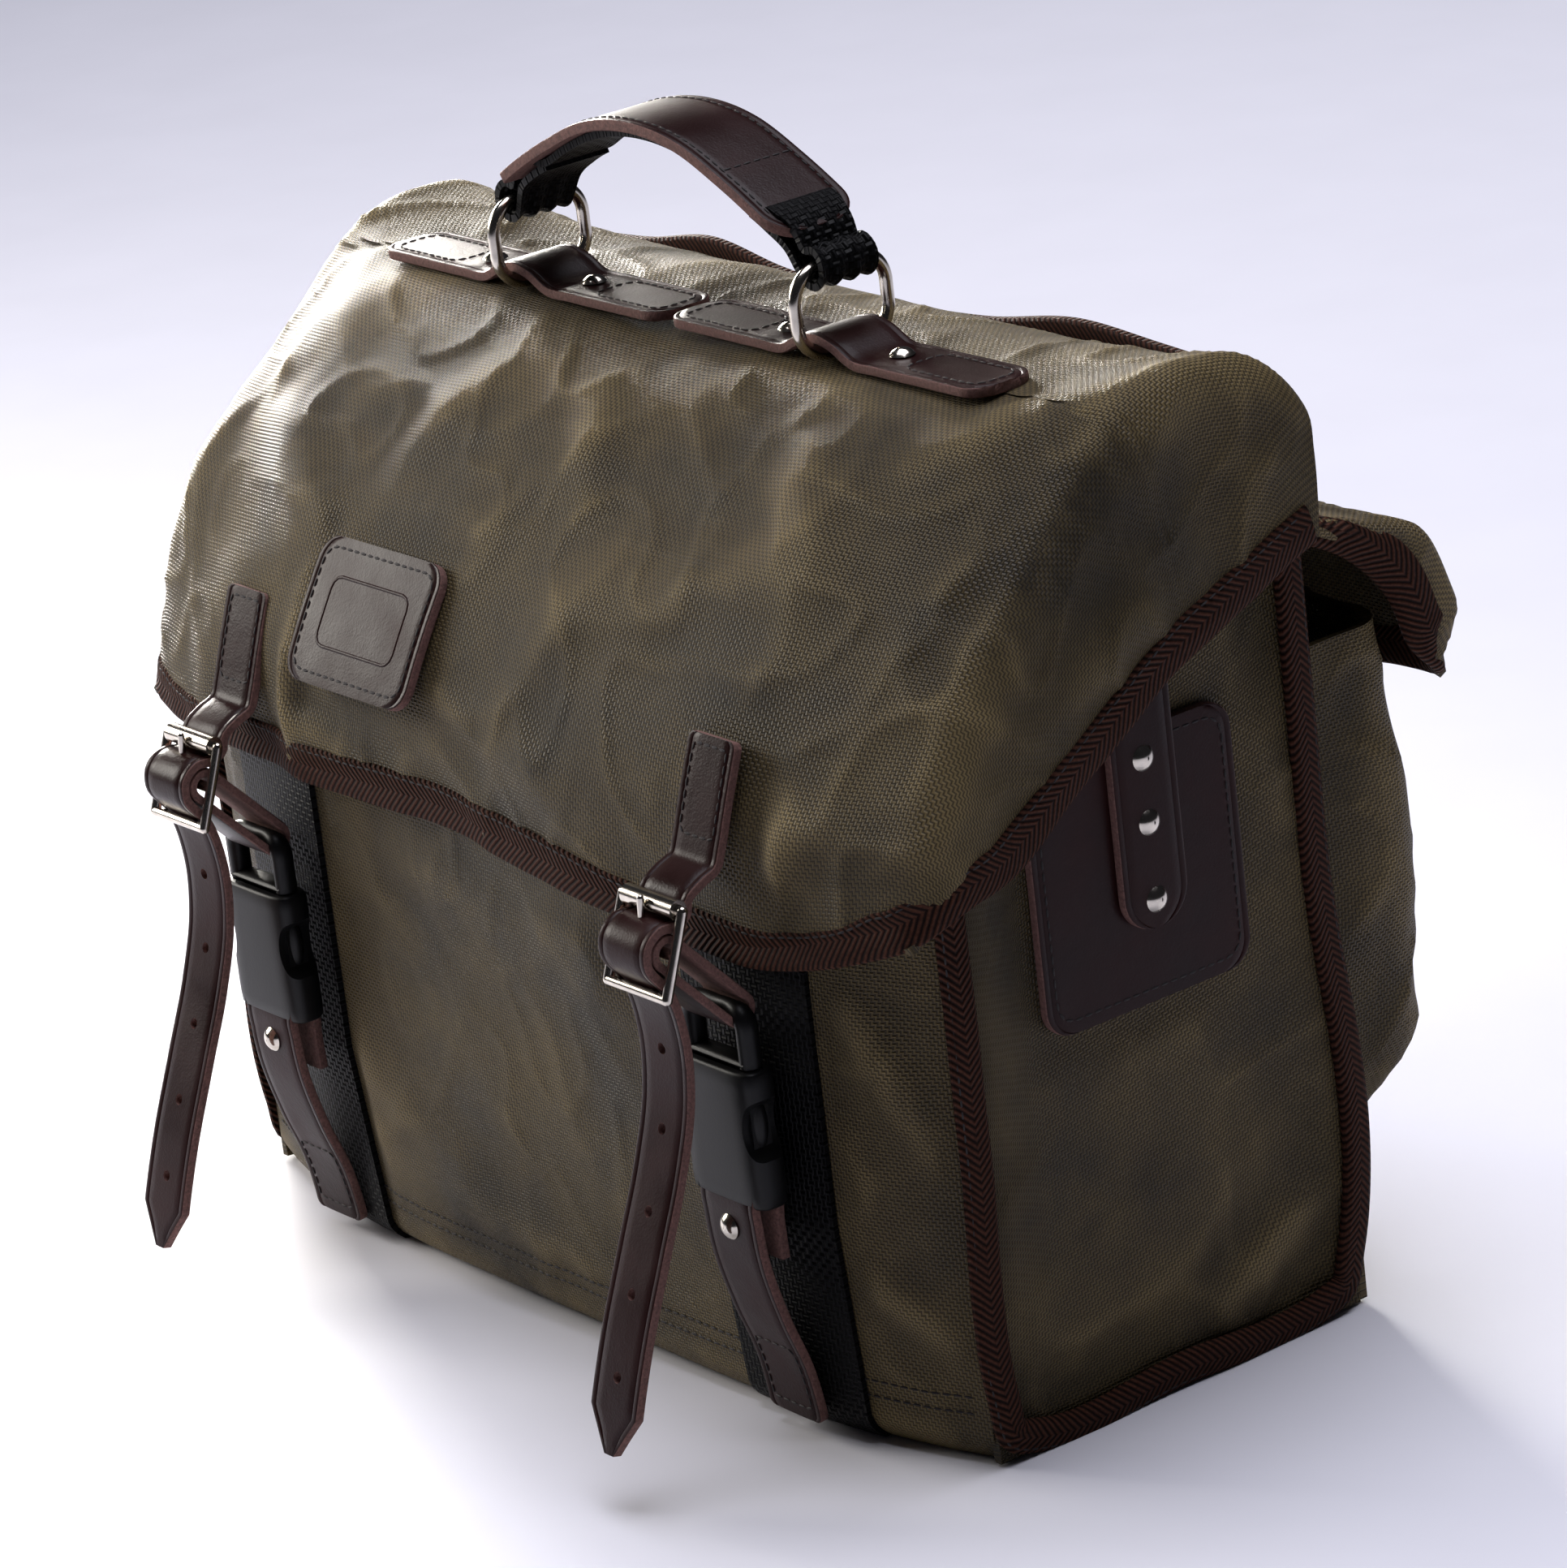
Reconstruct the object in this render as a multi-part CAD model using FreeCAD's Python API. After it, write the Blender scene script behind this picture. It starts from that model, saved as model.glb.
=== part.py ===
"""Waxed canvas saddlebag: body, flap, two strap closures with side-release clips,
a swinging carrying handle and a flapped rear pocket.

Millimetres, +Z up, X to the right, front face towards -Y.
The origin is the middle of the flat base, on the surface the bag stands on.
"""
import FreeCAD, Part
import math
import os

V = FreeCAD.Vector

# ---- bag body -------------------------------------------------------------
body_width = 372.0          # over the gussets
front_y = -72.0             # front corner seams
back_y = 73.0               # outside of the back panel
body_height = 280.5         # top edge of the back panel
wall = 3.0                  # doubled canvas
bulge_base = 18.0           # front panel stands out this far at the base
bulge_full = 25.0           # and this far from bulge_height upwards
bulge_height = 70.0
bulge_at_strap = 0.85       # share of the bulge that is left at the straps
front_break_drop = 108.5    # below the body's top the front panel leans in under the flap
front_drop = 54.5           # its top edge, below the body's top
front_lean = 26.0           # how far the top edge leans in
board = 3.0                 # stiffening boards
board_gap = 2.0             # clearance round the boards
tape_width = 9.0            # binding tape
tape = 2.5                  # binding tape thickness over a seam

# ---- straps and webbing ---------------------------------------------------
strap_x = 119.0             # closure straps, from the middle of the bag
webbing_width = 50.0
webbing = 2.0
leather = 3.0
strap_width = 22.0          # closure straps
lower_strap_width = 25.0
strap_gap = 0.3             # between a strap and what it runs over
hole_pitch = 24.5
hole_count = 5
hole_radius = 1.8

# ---- flap -----------------------------------------------------------------
flap_overhang = 11.5        # side wings outside the gussets
flap_shoulder = 36.0        # the flap rounds off this far inside the gussets
flap_rise = 14.0            # flat part of the top, over the rear seam
flap_drop = 138.0           # from the flat top down to the front edge
flap_out = 32.0             # front edge in front of the corner seams
flap_end_out = 19.5         # the same at the side wings
hinge_gap = 3.5             # rear seam above the back panel's top edge
flap_open_gap = 1.0         # rear seam in front of the panel's back face
# outline of the flap as shares of its depth and of its drop, from the rear seam to the edge
flap_middle_shape = ((0.145, 0.007), (0.316, 0.0), (0.521, 0.0145), (0.818, 0.348), (0.972, 0.681))
flap_end_shape = ((0.10, -0.03), (0.23, -0.058), (0.604, 0.24), (0.825, 0.536), (0.972, 0.826))
wing_hem_shape = ((0.923, 0.953), (0.751, 0.862), (0.561, 0.71), (0.352, 0.55), (0.144, 0.449))
wing_rear_share = 0.391     # lower end of a side wing's rear edge
wing_front_share = 0.985    # lower end of its front edge

# ---- side-release clips ---------------------------------------------------
clip_gap = 2.25             # behind the socket, to the webbing
clip_width = 36.0
clip_depth = 12.0
clip_wall = 2.6
clip_side = 4.0
clip_below_edge = 18.0      # top of the plug under the flap's edge
socket_height = 43.0
plug_height = 20.0          # plug standing out of the socket
plug_bar = 2.4              # radius of the plug's crossbar
socket_bar = 2.2            # radius of the socket's strap bar
slot_height = 6.5
slide_fit = 0.35            # plug in socket, each side
arm_width = 4.0
arm_length = 24.0

# ---- roller buckles -------------------------------------------------------
buckle_width = strap_width + 9.0
wire = 1.6                  # frame wire radius
roller_radius = 3.0
roller_fit = 0.08
buckle_lean = (-9.0, -24.0)  # from the roller to the foot bar
roller_from_pivot = (-17.9, -10.0)
prong_radius = 1.1
loop_inner = 3.0            # inside radius of the leather loop
loop_leather = 2.6
pivot_lift = 26.0           # the strap leaves the flap this far above its edge
swing_gap = 0.8             # each side of the line where the strap swings
tip_clearance = 16.0        # a strap's tip above the ground
# the free tail below the buckle: how far it stands off the foot bar, and its share of the fall
tail_fall = ((7.0, 0.118), (6.0, 0.25), (0.0, 0.404), (-9.0, 0.566), (-19.5, 0.757), (-29.8, 1.0))

# ---- side patches ---------------------------------------------------------
patch_depth = 78.0
patch_drop = 158.5          # a patch's lower edge below the body's top
patch_height = 82.0
patch_round = 9.0
side_strap_width = 24.0
side_strap_y = 2.0
side_strap_lift = 23.0      # lower end above the patch's lower edge
side_strap_length = 105.0
side_rivet_lifts = (8.5, 32.0, 51.5)

# ---- badge ----------------------------------------------------------------
badge_width = 64.0
badge_height = 46.0
badge_x = -51.0
badge_share = 0.73          # its lower edge, as a share of the flap's drop
badge_lift = 3.0            # off the flap's outline

# ---- handle ---------------------------------------------------------------
ring_x = 75.0
handle_y = 2.0
ring_wire = 2.0
ring_bend = 10.0            # corner radius of a ring, on the wire's centre
ring_straight = 14.0
ring_rise = 26.0            # lower bar to upper bar
ring_bar_lift = 2.4         # lower bar above the flap
anchor_length = 147.0
anchor_width = 24.0
anchor_rivet_reach = 26.0
handle_width = 32.0
handle_inset = 6.0          # leather ends inside the rings
handle_leather = 3.5
handle_web = 3.0
handle_web_width = 24.0
handle_rise = 34.1          # top of the handle above the rings
handle_drop = 24.5          # its ends below its top
eye_inner = 3.8             # webbing eye round a ring
eye_wall = 2.4

# ---- rivets ---------------------------------------------------------------
rivet_radius = 4.0
rivet_dome = 2.1

# ---- rear pocket ----------------------------------------------------------
pocket_inset = 6.0          # its ends inside the gussets
pocket_depth = 42.0
pocket_bottom = 55.0
pocket_drop = 75.5          # its mouth below the body's top
pocket_hinge_drop = 33.5
pocket_flap_out = 15.5      # the pocket's flap behind the pocket
pocket_flap_length = 69.0   # from its hinge down to its edge
pocket_flap_canvas = 2.5

# ---- worked out from the sizes above --------------------------------------
half = body_width / 2
seam_y = back_y - flap_open_gap
seam_z = body_height + hinge_gap
gusset_back = back_y - wall
flap_top = seam_z + flap_rise
flap_edge_z = flap_top - flap_drop
flap_half = half + flap_overhang
flap_full_x = half - flap_shoulder
flap_end_pull = 4.0         # the flap's face falls back this much at its shoulders
front_break = body_height - front_break_drop
front_height = body_height - front_drop
ring_low = flap_top + ring_bar_lift
ring_high = ring_low + ring_rise
handle_top = ring_high + handle_rise
clip_y = front_y - bulge_full * bulge_at_strap - webbing - clip_gap - clip_depth / 2
clip_bottom = flap_edge_z - clip_below_edge - plug_height - socket_height
socket_top = clip_bottom + socket_height
bar_z = clip_bottom + socket_bar
bar_top = bar_z + socket_bar
plug_bar_z = socket_top + plug_height - plug_bar
flap_face_at_strap = front_y - flap_out + flap_end_pull * (strap_x / flap_full_x) ** 2
pivot_at = (flap_face_at_strap - leather / 2 - 0.6, flap_edge_z + pivot_lift)
roller_at = (pivot_at[0] + roller_from_pivot[0], pivot_at[1] + roller_from_pivot[1])
buckle_foot_at = (roller_at[0] + buckle_lean[0], roller_at[1] + buckle_lean[1])
centre_bar = ((roller_at[0] + buckle_foot_at[0]) / 2, (roller_at[1] + buckle_foot_at[1]) / 2)
patch_middle = -1.0
patch_bottom = body_height - patch_drop
side_strap_bottom = patch_bottom + side_strap_lift
pocket_half = half - pocket_inset
pocket_back = back_y + pocket_depth
pocket_top = body_height - pocket_drop
pocket_hinge_z = body_height - pocket_hinge_drop
pocket_flap_half = half
pocket_flap_back = pocket_back + pocket_flap_out
pocket_flap_drop = pocket_hinge_z - pocket_flap_length


# ---- small tools ----------------------------------------------------------
def at(plane, along, point):
    """A point of a flat outline: plane 'X' holds (y, z) at x = along, plane 'Y' holds (x, z)."""
    if plane == "X":
        return V(along, point[0], point[1])
    return V(point[0], along, point[1])


def spline(points):
    curve = Part.BSplineCurve()
    curve.interpolate(points)
    return curve.toShape()


def line(a, b):
    return Part.LineSegment(a, b).toShape()


def beside(path, distance):
    """The path's points moved sideways, to the left of its direction."""
    moved = []
    for i, (a, b) in enumerate(path):
        before = path[max(i - 1, 0)]
        after = path[min(i + 1, len(path) - 1)]
        da, db = after[0] - before[0], after[1] - before[1]
        length = math.hypot(da, db)
        moved.append((a - db / length * distance, b + da / length * distance))
    return moved


def band_wire(path, left, right, plane, along):
    """Outline of a strip that follows a smooth path, from its left to its right side."""
    one = [at(plane, along, p) for p in beside(path, left)]
    other = [at(plane, along, p) for p in beside(path, right)]
    edges = [spline(one), line(one[-1], other[-1]), spline(other[::-1]), line(other[0], one[0])]
    return Part.Wire(edges)


def band(path, thickness, width, middle, plane="X"):
    """A strip of leather or webbing: a smooth path with a thickness, as wide as given."""
    start = middle - width / 2
    push = V(width, 0, 0) if plane == "X" else V(0, width, 0)
    wire_ = band_wire(path, thickness / 2, -thickness / 2, plane, start)
    return Part.Face(wire_).extrude(push)


def plate(points, x_low, x_high):
    """A flat plate from an outline in (y, z), between two values of x."""
    corners = [V(x_low, y, z) for y, z in points]
    return Part.Face(Part.makePolygon(corners + corners[:1])).extrude(V(x_high - x_low, 0, 0))


def box(x0, x1, y0, y1, z0, z1):
    return Part.makeBox(x1 - x0, y1 - y0, z1 - z0, V(x0, y0, z0))


def rod(radius, a, b):
    way = b.sub(a)
    return Part.makeCylinder(radius, way.Length, a, way)


def fused(shapes):
    """One solid from touching shapes."""
    whole = shapes[0].fuse(shapes[1:])
    return whole.removeSplitter()


def mirrored(shape):
    return shape.mirror(V(0, 0, 0), V(1, 0, 0))


def both_sides(nodes, name, shape):
    """The right-hand piece and its left-hand twin."""
    nodes["right_" + name] = shape
    nodes["left_" + name] = mirrored(shape)


def rounded_edges(shape, radius, axis, test=lambda edge: True):
    """Round the straight edges that run along an axis."""
    chosen = []
    for edge in shape.Edges:
        ends = edge.Vertexes
        if len(ends) != 2:
            continue
        way = ends[1].Point.sub(ends[0].Point)
        if way.Length > 0 and abs(way.normalize().dot(axis)) > 0.999 and test(edge):
            chosen.append(edge)
    return shape.makeFillet(radius, chosen)


def dome(centre, normal):
    """A domed rivet head standing on a face."""
    sphere_radius = (rivet_radius ** 2 + rivet_dome ** 2) / (2 * rivet_dome)
    ball = Part.makeSphere(sphere_radius, centre.sub(normal * (sphere_radius - rivet_dome)), normal)
    keep = Part.makeCylinder(rivet_radius + 1, rivet_dome + 1, centre, normal)
    return ball.common(keep)


# ---- bag body -------------------------------------------------------------
def front_outline(z, offset, reach, back):
    """Plan of the front panel at a height: bulged front, straight sides and back."""
    share = min(z / bulge_height, 1.0)
    bulge = bulge_base + (bulge_full - bulge_base) * share
    lean = front_lean * max(z - front_break, 0) / (front_height - front_break)
    face = front_y + offset + lean
    side = half - wall
    front = [(-side, face), (-strap_x, face - bulge * bulge_at_strap), (0, face - bulge),
             (strap_x, face - bulge * bulge_at_strap), (side, face)]
    points = [V(x, y, z) for x, y in front]
    edges = [spline(points)]
    corners = [points[-1], V(reach, face, z), V(reach, back, z), V(-reach, back, z),
               V(-reach, face, z), points[0]]
    for a, b in zip(corners, corners[1:]):
        if a.sub(b).Length > 1e-6:
            edges.append(line(a, b))
    return Part.Wire(edges)


def front_block(offset, reach, back, heights):
    """A solid whose front follows the bulged front panel."""
    return Part.makeLoft([front_outline(z, offset, reach, back) for z in heights], True, True)


def make_body(nodes):
    levels = [0.0, bulge_height, front_break, front_height]
    side = half - wall
    outside = front_block(0, side, gusset_back, levels)
    inside = front_block(wall, half + wall, back_y + wall, levels)
    inside = inside.common(box(-body_width, body_width, -body_width, body_width, wall, body_height))
    nodes["front_base_panel"] = outside.cut(inside)

    shoulder = (front_y + front_lean, front_height)
    gusset = plate([(front_y, 0), (gusset_back, 0), (gusset_back, body_height - 2), shoulder,
                    (front_y, front_break)], side, half)
    both_sides(nodes, "gusset", gusset)
    nodes["back_panel"] = box(-half, half, gusset_back, back_y, 0, body_height)

    lift = 1.0
    inner_z = lift + tape_width
    inner_front = front_y + tape_width
    inner_back = gusset_back - tape_width
    binding = plate([(front_y, lift), (gusset_back, lift), (gusset_back, body_height - 6),
                     (inner_back, body_height - 8), (inner_back, inner_z), (inner_front, inner_z),
                     (inner_front, front_break), (front_y, front_break)], half, half + tape)
    both_sides(nodes, "gusset_binding", binding)

    seam_tape = box(-half + wall, half - wall, back_y, back_y + tape,
                    body_height - tape_width, body_height)
    nodes["rear_seam_binding"] = seam_tape

    inner = side - board_gap
    base = box(-inner, inner, front_y + wall + board_gap, gusset_back - board - 2 * board_gap,
               wall, wall + board)
    nodes["base_board"] = rounded_edges(base, 12, V(0, 0, 1))
    back = box(-inner, inner, gusset_back - board - board_gap / 2, gusset_back - board_gap / 2,
               wall + 1, body_height - 12)
    nodes["back_board"] = rounded_edges(back, 12, V(0, 1, 0))

    skin = front_block(-webbing, side, gusset_back, levels[:3])
    core = front_block(0, side, gusset_back, levels[:3])
    strip = box(strap_x - webbing_width / 2, strap_x + webbing_width / 2, front_y - 2 * bulge_full,
                0, lift, front_break)
    both_sides(nodes, "webbing", skin.cut(core).common(strip))


def make_side_patches(nodes):
    low, high = patch_middle - patch_depth / 2, patch_middle + patch_depth / 2
    patch = box(half, half + leather, low, high, patch_bottom, patch_bottom + patch_height)
    both_sides(nodes, "side_patch", rounded_edges(patch, patch_round, V(1, 0, 0)))

    x0 = half + leather
    reach = side_strap_width / 2
    strap = box(x0, x0 + leather, side_strap_y - reach, side_strap_y + reach,
                side_strap_bottom, side_strap_bottom + side_strap_length)
    strap = rounded_edges(strap, reach * 0.85, V(1, 0, 0),
                          lambda edge: edge.CenterOfMass.z < side_strap_bottom + 1)
    both_sides(nodes, "side_strap", strap)

    heads = []
    for lift in side_rivet_lifts:
        head = dome(V(x0 + leather, side_strap_y, side_strap_bottom + lift), V(1, 0, 0))
        heads += [head, mirrored(head)]
    nodes["side_strap_rivets"] = Part.makeCompound(heads)


# ---- rear pocket ----------------------------------------------------------
def make_pocket(nodes):
    slope = 0.45
    outer = [(back_y, pocket_bottom), (pocket_back - 18, pocket_bottom + 3),
             (pocket_back - 5, pocket_bottom + 9), (pocket_back, pocket_bottom + 21),
             (pocket_back, pocket_top), (back_y, pocket_top)]
    inner = [(back_y - 1, pocket_bottom + wall), (pocket_back - 18, pocket_bottom + 3 + wall),
             (pocket_back - 5 - wall * slope, pocket_bottom + 9 + wall),
             (pocket_back - wall, pocket_bottom + 21 + wall * slope),
             (pocket_back - wall, pocket_top + 1), (back_y - 1, pocket_top + 1)]
    shell = plate(outer, -pocket_half, pocket_half)
    nodes["rear_pocket"] = shell.cut(plate(inner, wall - pocket_half, pocket_half - wall))

    start = (back_y + 2.2, pocket_hinge_z - 1)
    knee = pocket_flap_back
    path = [start, (back_y + 27, pocket_hinge_z - 10.5), (knee - 5, pocket_hinge_z - 23.5),
            (knee, pocket_hinge_z - 34), (knee - 1.5, pocket_flap_drop)]
    width = 2 * pocket_flap_half
    canvas = band(path, pocket_flap_canvas, width, 0)

    hem = [path[-1], (knee - 14, pocket_flap_drop + 12), (knee - 24, pocket_flap_drop + 38),
           (back_y + 14, pocket_hinge_z - 13), path[0]]
    x_in = pocket_flap_half - pocket_flap_canvas
    wing_wire = Part.Wire([spline([V(x_in, y, z) for y, z in path]),
                           spline([V(x_in, y, z) for y, z in hem])])
    wing = Part.Face(wing_wire).extrude(V(pocket_flap_canvas, 0, 0))
    nodes["pocket_flap_canvas"] = fused([canvas, wing, mirrored(wing)])

    edge = [(y, z) for y, z in hem[:4]]
    x_tape = pocket_flap_half
    side = Part.Face(band_wire(edge, 0.5, -tape_width + 1, "X", x_tape))
    side = side.extrude(V(tape * 0.6, 0, 0))
    off_canvas = pocket_flap_canvas / 2 + tape * 0.3 + 0.15
    fall = spline([at("X", 0, p) for p in path])
    marks = [fall.Curve.parameterAtDistance(fall.Length - up, fall.FirstParameter)
             for up in (tape_width - 2, tape_width / 2 - 1, 0)]
    low = [fall.Curve.value(mark) for mark in marks]
    foot = band([(p.y + off_canvas, p.z) for p in low], tape * 0.6, 2 * x_tape + tape * 1.2, 0)
    nodes["pocket_flap_binding"] = Part.makeCompound([side, mirrored(side), foot])


# ---- flap -----------------------------------------------------------------
def flap_profile(x):
    """Outside of the flap in (y, z), from the rear seam to the front edge."""
    if abs(x) >= flap_half:
        shape = flap_end_shape + ((1.0, wing_front_share),)
        return [flap_point((0, 0), True, rear=True)] + [flap_point(p, True) for p in shape]
    pull = flap_end_pull * (abs(x) / flap_full_x) ** 2
    shape = flap_middle_shape + ((1.0, 1.0),)
    points = [flap_point(p, False) for p in shape]
    return [flap_point((0, 0), False, rear=True)] + [(y + pull * (y < 0), z) for y, z in points]


def flap_point(shares, at_end, rear=False):
    """A point of the flap's outline from its shares of the depth and the drop."""
    start = seam_y - 0.6
    if rear:
        return (start, seam_z + wall)
    reach = flap_end_out if at_end else flap_out
    return (start + (front_y - reach - start) * shares[0], flap_top - flap_drop * shares[1])


def make_flap(nodes):
    stations = [-flap_half, -flap_full_x, 0, flap_full_x, flap_half]
    sections = [band_wire(flap_profile(x), 0, wall, "X", x) for x in stations]
    sheet = Part.makeLoft(sections, True, True)

    profile = flap_profile(flap_half)
    hem = [profile[-1]] + [flap_point(p, True) for p in wing_hem_shape]
    hem.append(flap_point((0, wing_rear_share), True))
    x_in = flap_half - wall
    rear = [V(x_in, *hem[-1]), V(x_in, *profile[0])]
    outline = Part.Wire([spline([V(x_in, y, z) for y, z in profile]),
                         spline([V(x_in, y, z) for y, z in hem]), line(*rear)])
    wing = Part.Face(outline).extrude(V(wall, 0, 0))
    nodes["flap_canvas"] = fused([sheet, wing, mirrored(wing)])

    strip = tape * 0.6
    sections = []
    for x in [-flap_half - strip, -flap_full_x, 0, flap_full_x, flap_half + strip]:
        y, z = flap_profile(x)[-1]
        low, high = z - 1.5, z + tape_width
        corners = [V(x, y - strip, low), V(x, y, low), V(x, y + 0.4, high),
                   V(x, y - strip + 0.4, high)]
        sections.append(Part.makePolygon(corners + corners[:1]))
    front = Part.makeLoft(sections, True, True)
    side = Part.Face(band_wire(hem[:-1], 1.5, -tape_width, "X", flap_half))
    side = side.extrude(V(strip, 0, 0))
    nodes["flap_binding"] = fused([front.cut(nodes["flap_canvas"]), side, mirrored(side)])


def make_badge(nodes):
    """A plain leather patch on the sloping front of the flap."""
    upper, lower = [flap_point(p, False) for p in flap_middle_shape[-2:]]
    slope = math.atan2(upper[1] - lower[1], upper[0] - lower[0])
    z = flap_top - flap_drop * badge_share
    y = lower[0] + (z - lower[1]) / math.tan(slope)
    patch = Part.makeBox(badge_width, leather, badge_height,
                         V(badge_x - badge_width / 2, -leather, 0))
    patch = rounded_edges(patch, 8, V(0, 1, 0))
    patch.rotate(V(0, 0, 0), V(1, 0, 0), math.degrees(slope) - 90)
    patch.translate(V(0, y - badge_lift * math.sin(slope), z + badge_lift * math.cos(slope)))
    nodes["badge"] = patch


# ---- closures -------------------------------------------------------------
def round_point(centre, radius, degrees):
    turn = math.radians(degrees)
    return (centre[0] + radius * math.cos(turn), centre[1] + radius * math.sin(turn))


def tail_path():
    """The strap from the flap, behind the roller, over the bar, behind the foot, and down."""
    clear = leather / 2 + strap_gap
    over_roller = roller_radius + clear
    over_loop = loop_inner + loop_leather + clear
    path = [(pivot_at[0] - 0.4, pivot_at[1] - 1.2 - swing_gap), (pivot_at[0] - 8, pivot_at[1] - 5)]
    path += [round_point(roller_at, over_roller, a) for a in (10, -35, -80)]
    path += [round_point(centre_bar, over_loop, a) for a in (105, 150, 190)]
    path += [round_point(buckle_foot_at, wire + clear, 10)]
    drop = buckle_foot_at[1] - tip_clearance
    fall = [(buckle_foot_at[0] + out, buckle_foot_at[1] - drop * share) for out, share in tail_fall]
    return path + fall


def tail_holes(path):
    """Holes at an even pitch, counted back from the pointed tip."""
    centre = spline([at("X", 0, p) for p in path])
    length = centre.Length
    curve = centre.Curve
    cutters = []
    for n in range(hole_count):
        where = curve.parameterAtDistance(length - hole_pitch * (n + 1), centre.FirstParameter)
        point = curve.value(where)
        way = curve.tangent(where)[0]
        normal = V(0, way.z, -way.y)
        cutters.append(rod(hole_radius, point.sub(normal * 4), point.add(normal * 4)))
    return cutters


def make_tail():
    path = tail_path()
    strap = band(path, leather, strap_width, 0)
    for cutter in tail_holes(path):
        strap = strap.cut(cutter)
    prong_slot = box(-prong_radius - 1, prong_radius + 1, centre_bar[0] - 12, centre_bar[0] + 8,
                     centre_bar[1] + 1.3, roller_at[1] - 1)
    strap = strap.cut(prong_slot)
    tip_z = path[-1][1]
    reach = strap_width / 2
    for side in (-1, 1):
        edge_x = side * reach * 1.2
        corner = Part.makePolygon([V(edge_x, -300, tip_z + 16), V(edge_x, -300, tip_z - 9),
                                   V(0, -300, tip_z - 2), V(edge_x, -300, tip_z + 16)])
        strap = strap.cut(Part.Face(corner).extrude(V(0, 250, 0)))
    return strap.translated(V(strap_x, 0, 0))


def make_buckle_frame(x):
    """A rectangle of round wire with a centre bar, standing across the strap at x."""
    reach = buckle_width / 2 - wire
    rails = []
    heads = (roller_at, buckle_foot_at, centre_bar)
    for y, z in heads:
        rails.append(rod(wire, V(x - reach, y, z), V(x + reach, y, z)))
    for side in (-reach, reach):
        a = V(x + side, *roller_at)
        b = V(x + side, *buckle_foot_at)
        rails += [rod(wire, a, b), Part.makeSphere(wire, a), Part.makeSphere(wire, b)]
    return fused(rails)


def make_roller():
    reach = buckle_width / 2 - 2 * wire - 0.4
    a, b = V(strap_x - reach, *roller_at), V(strap_x + reach, *roller_at)
    return rod(roller_radius, a, b).cut(rod(wire + roller_fit, a, b))


def make_prong():
    """A wire tongue: an eye round the centre bar and a pin that rests over the roller."""
    eye = rod(wire + 2 * prong_radius, V(strap_x - 1.6, *centre_bar), V(strap_x + 1.6, *centre_bar))
    eye = eye.cut(rod(wire + roller_fit, V(strap_x - 3, *centre_bar), V(strap_x + 3, *centre_bar)))
    root = round_point(centre_bar, wire + prong_radius, 100)
    tip = round_point(roller_at, roller_radius + prong_radius + strap_gap * 2, 150)
    pin = rod(prong_radius, V(strap_x, *root), V(strap_x, *tip))
    return fused([eye, pin, Part.makeSphere(prong_radius, V(strap_x, *tip))])


def make_loop():
    """The short leather loop from the buckle's centre bar to the plug's bar."""
    bar = (clip_y, plug_bar_z)
    dy, dz = bar[0] - centre_bar[0], bar[1] - centre_bar[1]
    length = math.hypot(dy, dz)
    turn = math.degrees(math.atan2(dz, dy))

    def belt(radius):
        ends = [Part.makeCylinder(radius, strap_width, V(0, a, 0), V(1, 0, 0)) for a in (0, length)]
        return fused(ends + [box(0, strap_width, 0, length, -radius, radius)])

    loop = belt(loop_inner + loop_leather).cut(belt(loop_inner))
    middle = strap_width / 2
    eye_room = box(middle - 2.2, middle + 2.2, -12, 6, -6, 12)
    eye_radius = wire + 2 * prong_radius + strap_gap
    eye_room = eye_room.fuse(rod(eye_radius, V(middle - 2.2, 0, 0), V(middle + 2.2, 0, 0)))
    eye_room.rotate(V(0, 0, 0), V(1, 0, 0), -turn)
    loop = loop.cut(eye_room)
    loop.rotate(V(0, 0, 0), V(1, 0, 0), turn)
    return loop.translated(V(strap_x - strap_width / 2, *centre_bar))


def webbing_face(z):
    """How far forward the webbing's face stands at a strap, below the full bulge."""
    bulge = bulge_base + (bulge_full - bulge_base) * z / bulge_height
    return front_y - bulge * bulge_at_strap - webbing


def make_socket():
    """The clip's outer half: a mouth for the plug, two side windows and a bar for the strap."""
    x0, x1 = strap_x - clip_width / 2, strap_x + clip_width / 2
    y0, y1 = clip_y - clip_depth / 2, clip_y + clip_depth / 2
    body = rounded_edges(box(x0, x1, y0, y1, clip_bottom, socket_top), 3, V(0, 0, 1))
    mouth = box(x0 + clip_side, x1 - clip_side, y0 + clip_wall, y1 - clip_wall,
                bar_top + slot_height + 3, socket_top + 1)
    body = body.cut(mouth)
    window = box(x0 - 1, x1 + 1, y0 + clip_wall, y1 - clip_wall, socket_top - 25, socket_top - 9)
    body = body.cut(window)
    half_slot = lower_strap_width / 2 + 0.5
    slot = box(strap_x - half_slot, strap_x + half_slot, y0 - 1, y1 + 1,
               clip_bottom - 1, bar_top + slot_height)
    bar = rod(socket_bar, V(strap_x - half_slot - 1, clip_y, bar_z),
              V(strap_x + half_slot + 1, clip_y, bar_z))
    return fused([body.cut(slot), bar])


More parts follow.
